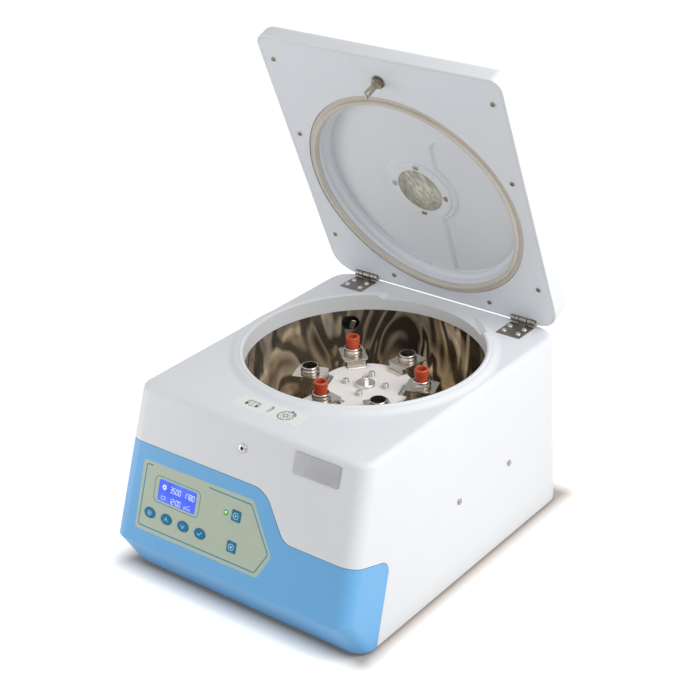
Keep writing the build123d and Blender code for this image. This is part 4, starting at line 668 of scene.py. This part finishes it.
firstX, secondX, signX = (displayPrint[key] for key in ("firstColumn", "secondColumn", "signColumn"))
upperRow = upFace(displayPrint["upperRow"])
lowerRow = upFace(displayPrint["lowerRow"])
displayInk = digitPatches("3500", firstX, upperRow)
displayInk += digitPatches("1780", secondX, upperRow)
displayInk += digitPatches("12:00", firstX, lowerRow)
discRing = roundSpots(signX, upperRow + displayPrint["discRise"], displayPrint["discRadius"])
displayInk.append(displaySign("discRing", discRing, displayPrint["discLine"]))
displayInk.append(displaySign("tubeSign", moved(tubeSign, signX, lowerRow), displayPrint["signLine"],
                              displayPrint["tubeCorner"]))
displayInk.append(displaySign("lidSign", moved(lidSign, secondX + displayPrint["lidShift"], lowerRow),
                              displayPrint["signLine"], closed=False))
joined("display_digits", displayInk, "housing", "lcd_module")
print("panel printed")

# keys: ring with a dot, chevrons, tick, run and halt, as lines and patches round each key's middle
keyPrint = {"lift": 0.93, "width": 0.8, "corner": 0.3, "rowHeight": 94.3, "firstX": -119.6,
            "spacing": 25.87, "squareX": 5.5, "startHeight": 129.4, "stopHeight": 94.6,
            "ring": 2.6, "dot": 0.9, "dotSides": 16, "squareRing": 3.7}
rowY = upFace(keyPrint["rowHeight"])
keyX = [keyPrint["firstX"] + keyPrint["spacing"] * k for k in range(4)]
squareX = keyPrint["squareX"]
startY = upFace(keyPrint["startHeight"])
stopY = upFace(keyPrint["stopHeight"])
roundLine = (roundSpots(0, 0, keyPrint["ring"]), True)
squareLine = (roundSpots(0, 0, keyPrint["squareRing"]), True)
keySigns = {
    "set": (keyX[0], rowY, [roundLine], [roundSpots(0, 0, keyPrint["dot"], keyPrint["dotSides"])]),
    "up": (keyX[1], rowY, [([(-2.5, -2.2), (0, 2.4), (2.5, -2.2)], False)], []),
    "down": (keyX[2], rowY, [([(-2.5, 2.2), (0, -2.4), (2.5, 2.2)], False)], []),
    "enter": (keyX[3], rowY, [([(-2.9, 0.2), (-0.9, -2.0), (3.1, 2.3)], False)], []),
    "start": (squareX, startY, [squareLine], [[(-1.2, -1.8), (2.0, 0), (-1.2, 1.8)]]),
    "stop": (squareX, stopY, [squareLine], [[(-1.4, -1.4), (1.4, -1.4), (1.4, 1.4), (-1.4, 1.4)]]),
}
for key, (x, y, signLines, signPatches) in keySigns.items():
    signInk = [inkPath("signLine", moved(corners, x, y), paleInk, keyPrint["width"],
                       keyPrint["corner"], closed, keyPrint["lift"]) for corners, closed in signLines]
    signInk += [inkPatch("signPatch", moved(corners, x, y), paleInk,
                         keyPrint["lift"] + inkLook["patchLift"]) for corners in signPatches]
    joined("sign_" + key, signInk, "key_" + key + "_body", "key_" + key)

# deck label: tubes in balance on the left, loaded rotor with its turning arrow on the right
labelPrint = {"lift": 0.33, "y": -177.0, "balanceX": -24.0, "rotorX": 24.0, "line": 1.05,
              "places": 6, "placeTurn": 30, "placeCircle": 6.2, "placeRadius": 1.9, "placeLine": 0.4,
              "placeSides": 20, "rim": 9.4, "rimSides": 48, "hub": 2.6, "hubSides": 24,
              "arrow": 11.3, "arrowSides": 20, "arrowStart": 20, "arrowSweep": 70,
              "tubeSpacing": 7.0, "tubeCorner": 1.5}
arrowTip = [(1.6, 1.3), (-0.2, 0), (1.6, -1.3)]
tubeWall = [(-1.6, 4), (-1.6, -4), (1.6, -4), (1.6, 4)]
tubeFill = [(-1.1, -3.3), (1.1, -3.3), (1.1, 0), (-1.1, 0)]
balanceBeam = [(-8.6, 5.4), (8.6, 5.4)]
balanceStand = [(-2.4, -5), (0, 5.1), (2.4, -5)]
labelY, rotorX, balanceX = (labelPrint[key] for key in ("y", "rotorX", "balanceX"))


def labelLine(corners, closed=True, radius=0.0, width=labelPrint["line"]):
    return inkPath("labelLine", corners, darkInk, width, radius, closed, labelPrint["lift"], deckFrame)


labelInk = []
for x, y in roundSpots(rotorX, labelY, labelPrint["placeCircle"], labelPrint["places"],
                       labelPrint["placeTurn"]):
    placeRing = roundSpots(x, y, labelPrint["placeRadius"], labelPrint["placeSides"])
    labelInk.append(labelLine(placeRing, width=labelPrint["placeLine"]))
for part in ("rim", "hub"):
    labelInk.append(labelLine(roundSpots(rotorX, labelY, labelPrint[part], labelPrint[part + "Sides"])))
arrow = roundSpots(rotorX, labelY, labelPrint["arrow"], labelPrint["arrowSides"],
                   labelPrint["arrowStart"], labelPrint["arrowSweep"])
labelInk.append(labelLine(arrow, closed=False))
labelInk.append(labelLine(moved(arrowTip, rotorX, labelY + labelPrint["arrow"]), closed=False))
for side in (-1, 1):
    x = balanceX + side * labelPrint["tubeSpacing"]
    labelInk.append(labelLine(moved(tubeWall, x, labelY), closed=False, radius=labelPrint["tubeCorner"]))
    labelInk.append(inkPatch("fill", moved(tubeFill, x, labelY), darkInk,
                             labelPrint["lift"] + inkLook["patchLift"], deckFrame))
labelInk.append(labelLine(moved(balanceBeam, balanceX, labelY), closed=False))
labelInk.append(labelLine(moved(balanceStand, balanceX, labelY)))
joined("label_print", labelInk, "housing", "deck_label")
print("keys and label printed")

# screws: a domed head with a cross or a socket recess, set on each spot, in shares of its radius
screwLook = {"rings": 14, "sides": 48, "dome": 0.42, "domePower": 0.8, "skirt": 0.14,
             "crossWidth": 0.17, "crossFlank": 0.07, "crossReach": 0.62, "crossEnd": 0.12,
             "socketReach": 0.36, "socketFlank": 0.06, "recessDepth": 0.42, "turn": 6.28,
             "sharpAngle": 35}


def screwHead(name, drive):
    rings, sides = screwLook["rings"], screwLook["sides"]

    def sunk(room, flank):
        return min(1.0, max(0.0, room / flank))

    def rise(x, y):
        reach = math.hypot(x, y)
        crown = math.sqrt(max(0.0, 1 - reach ** 2)) ** screwLook["domePower"]
        if drive == "cross":
            depth = sunk(screwLook["crossWidth"] - min(abs(x), abs(y)), screwLook["crossFlank"])
            depth *= sunk(screwLook["crossReach"] - reach, screwLook["crossEnd"])
        else:
            depth = sunk(screwLook["socketReach"] - reach, screwLook["socketFlank"])
        return screwLook["skirt"] + screwLook["dome"] * crown - depth * screwLook["recessDepth"]

    points = [(0.0, 0.0, rise(0.0, 0.0))]
    for ring in range(1, rings + 1):
        reach = ring / rings
        for side in range(sides):
            turn = 2 * math.pi * side / sides
            x, y = reach * math.cos(turn), reach * math.sin(turn)
            points.append((x, y, rise(x, y)))
    points += [(x, y, 0.0) for x, y, z in points[-sides:]]
    faces = [(0, 1 + side, 1 + (side + 1) % sides) for side in range(sides)]
    for ring in range(rings):
        for side in range(sides):
            near = 1 + ring * sides + side
            nearNext = 1 + ring * sides + (side + 1) % sides
            faces.append((near, near + sides, nearNext + sides, nearNext))
    faces.append(tuple(range(len(points) - 1, len(points) - sides - 1, -1)))
    return bareMesh(name, points, (), faces)


crossMark = screwHead("crossMark", "cross")
socketMark = screwHead("socketMark", "socket")


def finishOf(node):
    return nodes[node].material_slots[0].material


def screwSet(mark, spots, size, node, frameOf, lift):
    points = bareMesh("screwSet", [(x * mm, y * mm, lift * mm) for x, y in spots])
    values = {"Mark": mark, "Size": size * mm, "Turn": screwLook["turn"], "Ink": finishOf(node)}
    return grown(points, markTree, values, frameOf)


lidScrews = {"x": 152.6, "rows": (-175.8, -63.4, 103.1), "rearX": 72.6, "rearY": 150.7,
             "headRadius": 2.95, "lift": 0.3}
spots = [(side * lidScrews["x"], -row) for side in (-1, 1) for row in lidScrews["rows"]]
spots += [(side * lidScrews["rearX"], -lidScrews["rearY"]) for side in (-1, 1)]
lidSet = screwSet(crossMark, spots, lidScrews["headRadius"], "lid_screws", lidInside, lidScrews["lift"])
joined("lid_screw_heads", [lidSet], "lid", "lid_screws", screwLook["sharpAngle"])

sideScrews = {"height": 105.5, "spots": (-50.6, 54.5), "headRadius": 3.7, "halfWidth": 167.0,
              "draft": 0.029}
fall = math.atan(sideScrews["draft"])
drop = (sideScrews["height"] - faceLook["deck"]) / math.cos(fall)
sideSets = []
for side in (-1, 1):
    sideFrame = frameFrom((0, side, 0), (-side * math.sin(fall), 0, math.cos(fall)),
                          (side * math.cos(fall), 0, math.sin(fall)),
                          (side * sideScrews["halfWidth"], 0, faceLook["deck"]))
    spots = [(side * y, drop) for y in sideScrews["spots"]]
    sideSets.append(screwSet(socketMark, spots, sideScrews["headRadius"], "side_screws", sideFrame, 0.0))
joined("side_screw_heads", sideSets, "housing", "side_screws", screwLook["sharpAngle"])

hingeScrews = {"x": 119.5, "y": 143.0, "pitchX": 20.0, "pitchY": 14.0, "headRadius": 3.25,
               "lift": 1.5}
spots = [(side * hingeScrews["x"] + i * hingeScrews["pitchX"] / 2,
          hingeScrews["y"] + j * hingeScrews["pitchY"] / 2)
         for side in (-1, 1) for i in (-1, 1) for j in (-1, 1)]
hingeSet = screwSet(crossMark, spots, hingeScrews["headRadius"], "hinge_screws", deckFrame,
                    hingeScrews["lift"])
joined("hinge_screw_heads", [hingeSet], "housing", "hinge_screws", screwLook["sharpAngle"])
for mark in (crossMark, socketMark):
    bpy.data.objects.remove(mark)

# ridges round the hollow studs of the rotor, and two moulded ribs on the lip of the lid's seal
studLook = {"ridges": 4, "pitch": 1.25, "bead": 0.32, "radius": 3.62, "base": 183.6, "sides": 48,
            "studs": 4, "circle": 25.1, "first": 19.05}
spots = roundSpots(0, 0, studLook["circle"], studLook["studs"], studLook["first"])
studs = bareMesh("studs", [(x * mm, y * mm, studLook["base"] * mm) for x, y in spots])
values = {"Count": studLook["ridges"], "Pitch": studLook["pitch"] * mm,
          "Radius": studLook["radius"] * mm, "Growth": 0.0, "Bead": studLook["bead"] * mm,
          "Sides": studLook["sides"], "Ink": finishOf("rotor_studs")}
joined("stud_ridges", [grown(studs, ringTree, values)], "rotor", "rotor_studs")

sealLook = {"ribs": 2, "first": 140.4, "step": 2.4, "bead": 0.4, "depth": 3.1, "sides": 256}
seal = bareMesh("seal", [(0, 0, -sealLook["depth"] * mm)])
values = {"Count": sealLook["ribs"], "Pitch": 0.0, "Radius": sealLook["first"] * mm,
          "Growth": sealLook["step"] * mm, "Bead": sealLook["bead"] * mm, "Sides": sealLook["sides"],
          "Ink": finishOf("lid_gasket")}
joined("seal_ribs", [grown(seal, ringTree, values, lidInside)], "lid", "lid_gasket")
print("screws and ridges set")

# clear port in the lid: rippled, paler inside a faint round step
lensLook = {"tint": (0.8, 0.79, 0.69), "shade": (0.5, 0.49, 0.4), "roughness": 0.05, "duller": 0.03,
            "clear": 0.45, "bending": 1.49, "depth": 15.0, "ring": 19.5, "ringEdge": 0.6,
            "ringShare": 0.3, "ringBump": 0.6, "ringDepth": 0.001,
            "waves": 60.0, "waveBand": (0.42, 0.56), "waveShare": 0.55, "waveBump": 0.8,
            "waveDepth": 0.004, "hazeScale": 400.0, "hazeShare": 0.1}


def clearPort():
    finish, place = newFinish("clearPort")
    ripple = place.stretched((1.0, 1.0, 0.6)).cloud(lensLook["waves"], detail=1.5, distortion=1.5)
    haze = place.cloud(lensLook["hazeScale"])
    centre = lidFrame @ Vector((0, 0, lensLook["depth"] * mm))
    reach = place.make("ShaderNodeVectorMath", {"operation": "DISTANCE"}, {0: place, 1: centre}, out=1)
    step = reach.between((lensLook["ring"] - lensLook["ringEdge"]) * mm,
                         (lensLook["ring"] + lensLook["ringEdge"]) * mm)
    tone = ripple.between(*lensLook["waveBand"]) * lensLook["waveShare"]
    tone = tone + haze.evened() * lensLook["hazeShare"] + (1.0 - step) * lensLook["ringShare"]
    skin = step.bumped(lensLook["ringBump"], lensLook["ringDepth"])
    return settle(finish, place, {
        "Base Color": tone.tint(lensLook["shade"], lensLook["tint"]),
        "Transmission Weight": lensLook["clear"],
        "IOR": lensLook["bending"],
        "Roughness": haze.evened(lensLook["roughness"], lensLook["roughness"] + lensLook["duller"]),
        "Normal": ripple.bumped(lensLook["waveBump"], lensLook["waveDepth"], skin),
    })


dress("window_lens", clearPort())
print("port glazed")

# studio: pale floor with a painted shadow round the machine, two soft lamps, a surround that looks white
# but lights as a dimmer fill
studio = {"floorSize": 30.0, "floorColour": (0.93, 0.905, 0.88), "floorShade": 0.985,
          "grainScale": 3.0, "footprint": (0.172, -0.243, 0.178), "nearLift": 0.02, "farLift": 0.6,
          "paintedShadowReach": 0.029, "paintedShadowTone": (0.53, 0.465, 0.42),
          "fill": (0.97, 0.985, 1.0), "fillStrength": 0.49,
          "keyPlace": (0.95, 0.02, 0.98), "keyAim": (0.0, 0.0, 0.14), "keySize": 0.8, "keyPower": 9.0,
          "leftPlace": (-1.05, -0.85, 0.22), "leftAim": (-0.1, -0.2, 0.15), "leftSize": 0.5,
          "leftPower": 4.2}


def seenMask(wire):
    # 1 where a surface is looked at, mirrored or seen through, 0 where it only lights others
    path = wire.make("ShaderNodeLightPath")
    outlets = path.socket.node.outputs
    seen = [Wire(outlets[name]) for name in ("Is Camera Ray", "Is Glossy Ray", "Is Transmission Ray")]
    return seen[0].maths("MAXIMUM", seen[1]).maths("MAXIMUM", seen[2])


def studioFloor():
    # painted shadow: the paper takes a darker tone and its own glow fades close to the machine's footprint
    finish, place = newFinish("floorPaper")
    halfWidth, front, rear = studio["footprint"]
    aside = (place.part("X").maths("ABSOLUTE") - halfWidth).maths("MAXIMUM", 0.0)
    along = (place.part("Y") - (front + rear) / 2).maths("ABSOLUTE") - (rear - front) / 2
    along = along.maths("MAXIMUM", 0.0)
    paintedShadowFade = (aside * aside + along * along).maths("SQRT").between(0.0, studio["paintedShadowReach"])
    grain = place.cloud(studio["grainScale"], detail=3.0)
    tone = grain.tint([c * studio["floorShade"] for c in studio["floorColour"]], studio["floorColour"])
    # painted shadow: a darker paper tone near the footprint
    tone = paintedShadowFade.tint(studio["paintedShadowTone"], tone)
    paper = place.make("ShaderNodeBsdfDiffuse", None, {"Color": tone})
    lift = paintedShadowFade.between(0.0, 1.0, studio["nearLift"], studio["farLift"])
    glow = place.make("ShaderNodeEmission", None, {"Strength": seenMask(place) * lift})
    both = place.make("ShaderNodeAddShader", None, {0: paper, 1: glow})
    place.make("ShaderNodeOutputMaterial", None, {"Surface": both})
    half = studio["floorSize"] / 2
    corners = [(-half, -half, 0), (half, -half, 0), (half, half, 0), (-half, half, 0)]
    floor = bareMesh("studio_floor", corners, (), [(0, 1, 2, 3)])
    floor.data.materials.append(finish)


studioFloor()
world = bpy.context.scene.world or bpy.data.worlds.new("studioWorld")
bpy.context.scene.world = world
world.use_nodes = True
world.node_tree.nodes.clear()
air = Wire(world.node_tree.nodes.new("ShaderNodeTexCoord").outputs["Generated"])
fill = [channel * studio["fillStrength"] for channel in studio["fill"]]
surround = air.make("ShaderNodeBackground", None,
                    {"Color": seenMask(air).tint(fill, (1.0, 1.0, 1.0)), "Strength": 1.0})
air.make("ShaderNodeOutputWorld", None, {"Surface": surround})


def softLamp(name, power, size, place, aim):
    lamp = bpy.data.lights.new(name, "AREA")
    lamp.energy = power
    lamp.size = size
    holder = bpy.data.objects.new(name, lamp)
    look = Vector(aim) - Vector(place)
    holder.matrix_world = Matrix.Translation(place) @ look.to_track_quat("-Z", "Y").to_matrix().to_4x4()
    bpy.context.scene.collection.objects.link(holder)


softLamp("keyLamp", studio["keyPower"], studio["keySize"], studio["keyPlace"], studio["keyAim"])
softLamp("leftLamp", studio["leftPower"], studio["leftSize"], studio["leftPlace"], studio["leftAim"])

# camera
view = {"place": (1.06471, -1.37559, 1.11888), "azimuth": 38.313, "elevation": 27.04, "roll": 1.816,
        "lens": 84.26, "sensor": 36.0, "clipEnd": 100.0}
around, above, roll = (math.radians(view[key]) for key in ("azimuth", "elevation", "roll"))
right = Vector((math.cos(around), math.sin(around), 0))
up = Vector((-math.sin(around) * math.sin(above), math.cos(around) * math.sin(above), math.cos(above)))
back = Vector((math.sin(around) * math.cos(above), -math.cos(around) * math.cos(above), math.sin(above)))
across = right * math.cos(roll) - up * math.sin(roll)
upright = right * math.sin(roll) + up * math.cos(roll)
camera = bpy.data.objects.new("studioCamera", bpy.data.cameras.new("studioCamera"))
camera.data.lens = view["lens"]
camera.data.sensor_width = view["sensor"]
camera.data.clip_end = view["clipEnd"]
camera.matrix_world = fromColumns(across, upright, back, view["place"])
bpy.context.scene.collection.objects.link(camera)
bpy.context.scene.camera = camera
bpy.context.scene.view_settings.view_transform = "Standard"
print("studio and camera set")
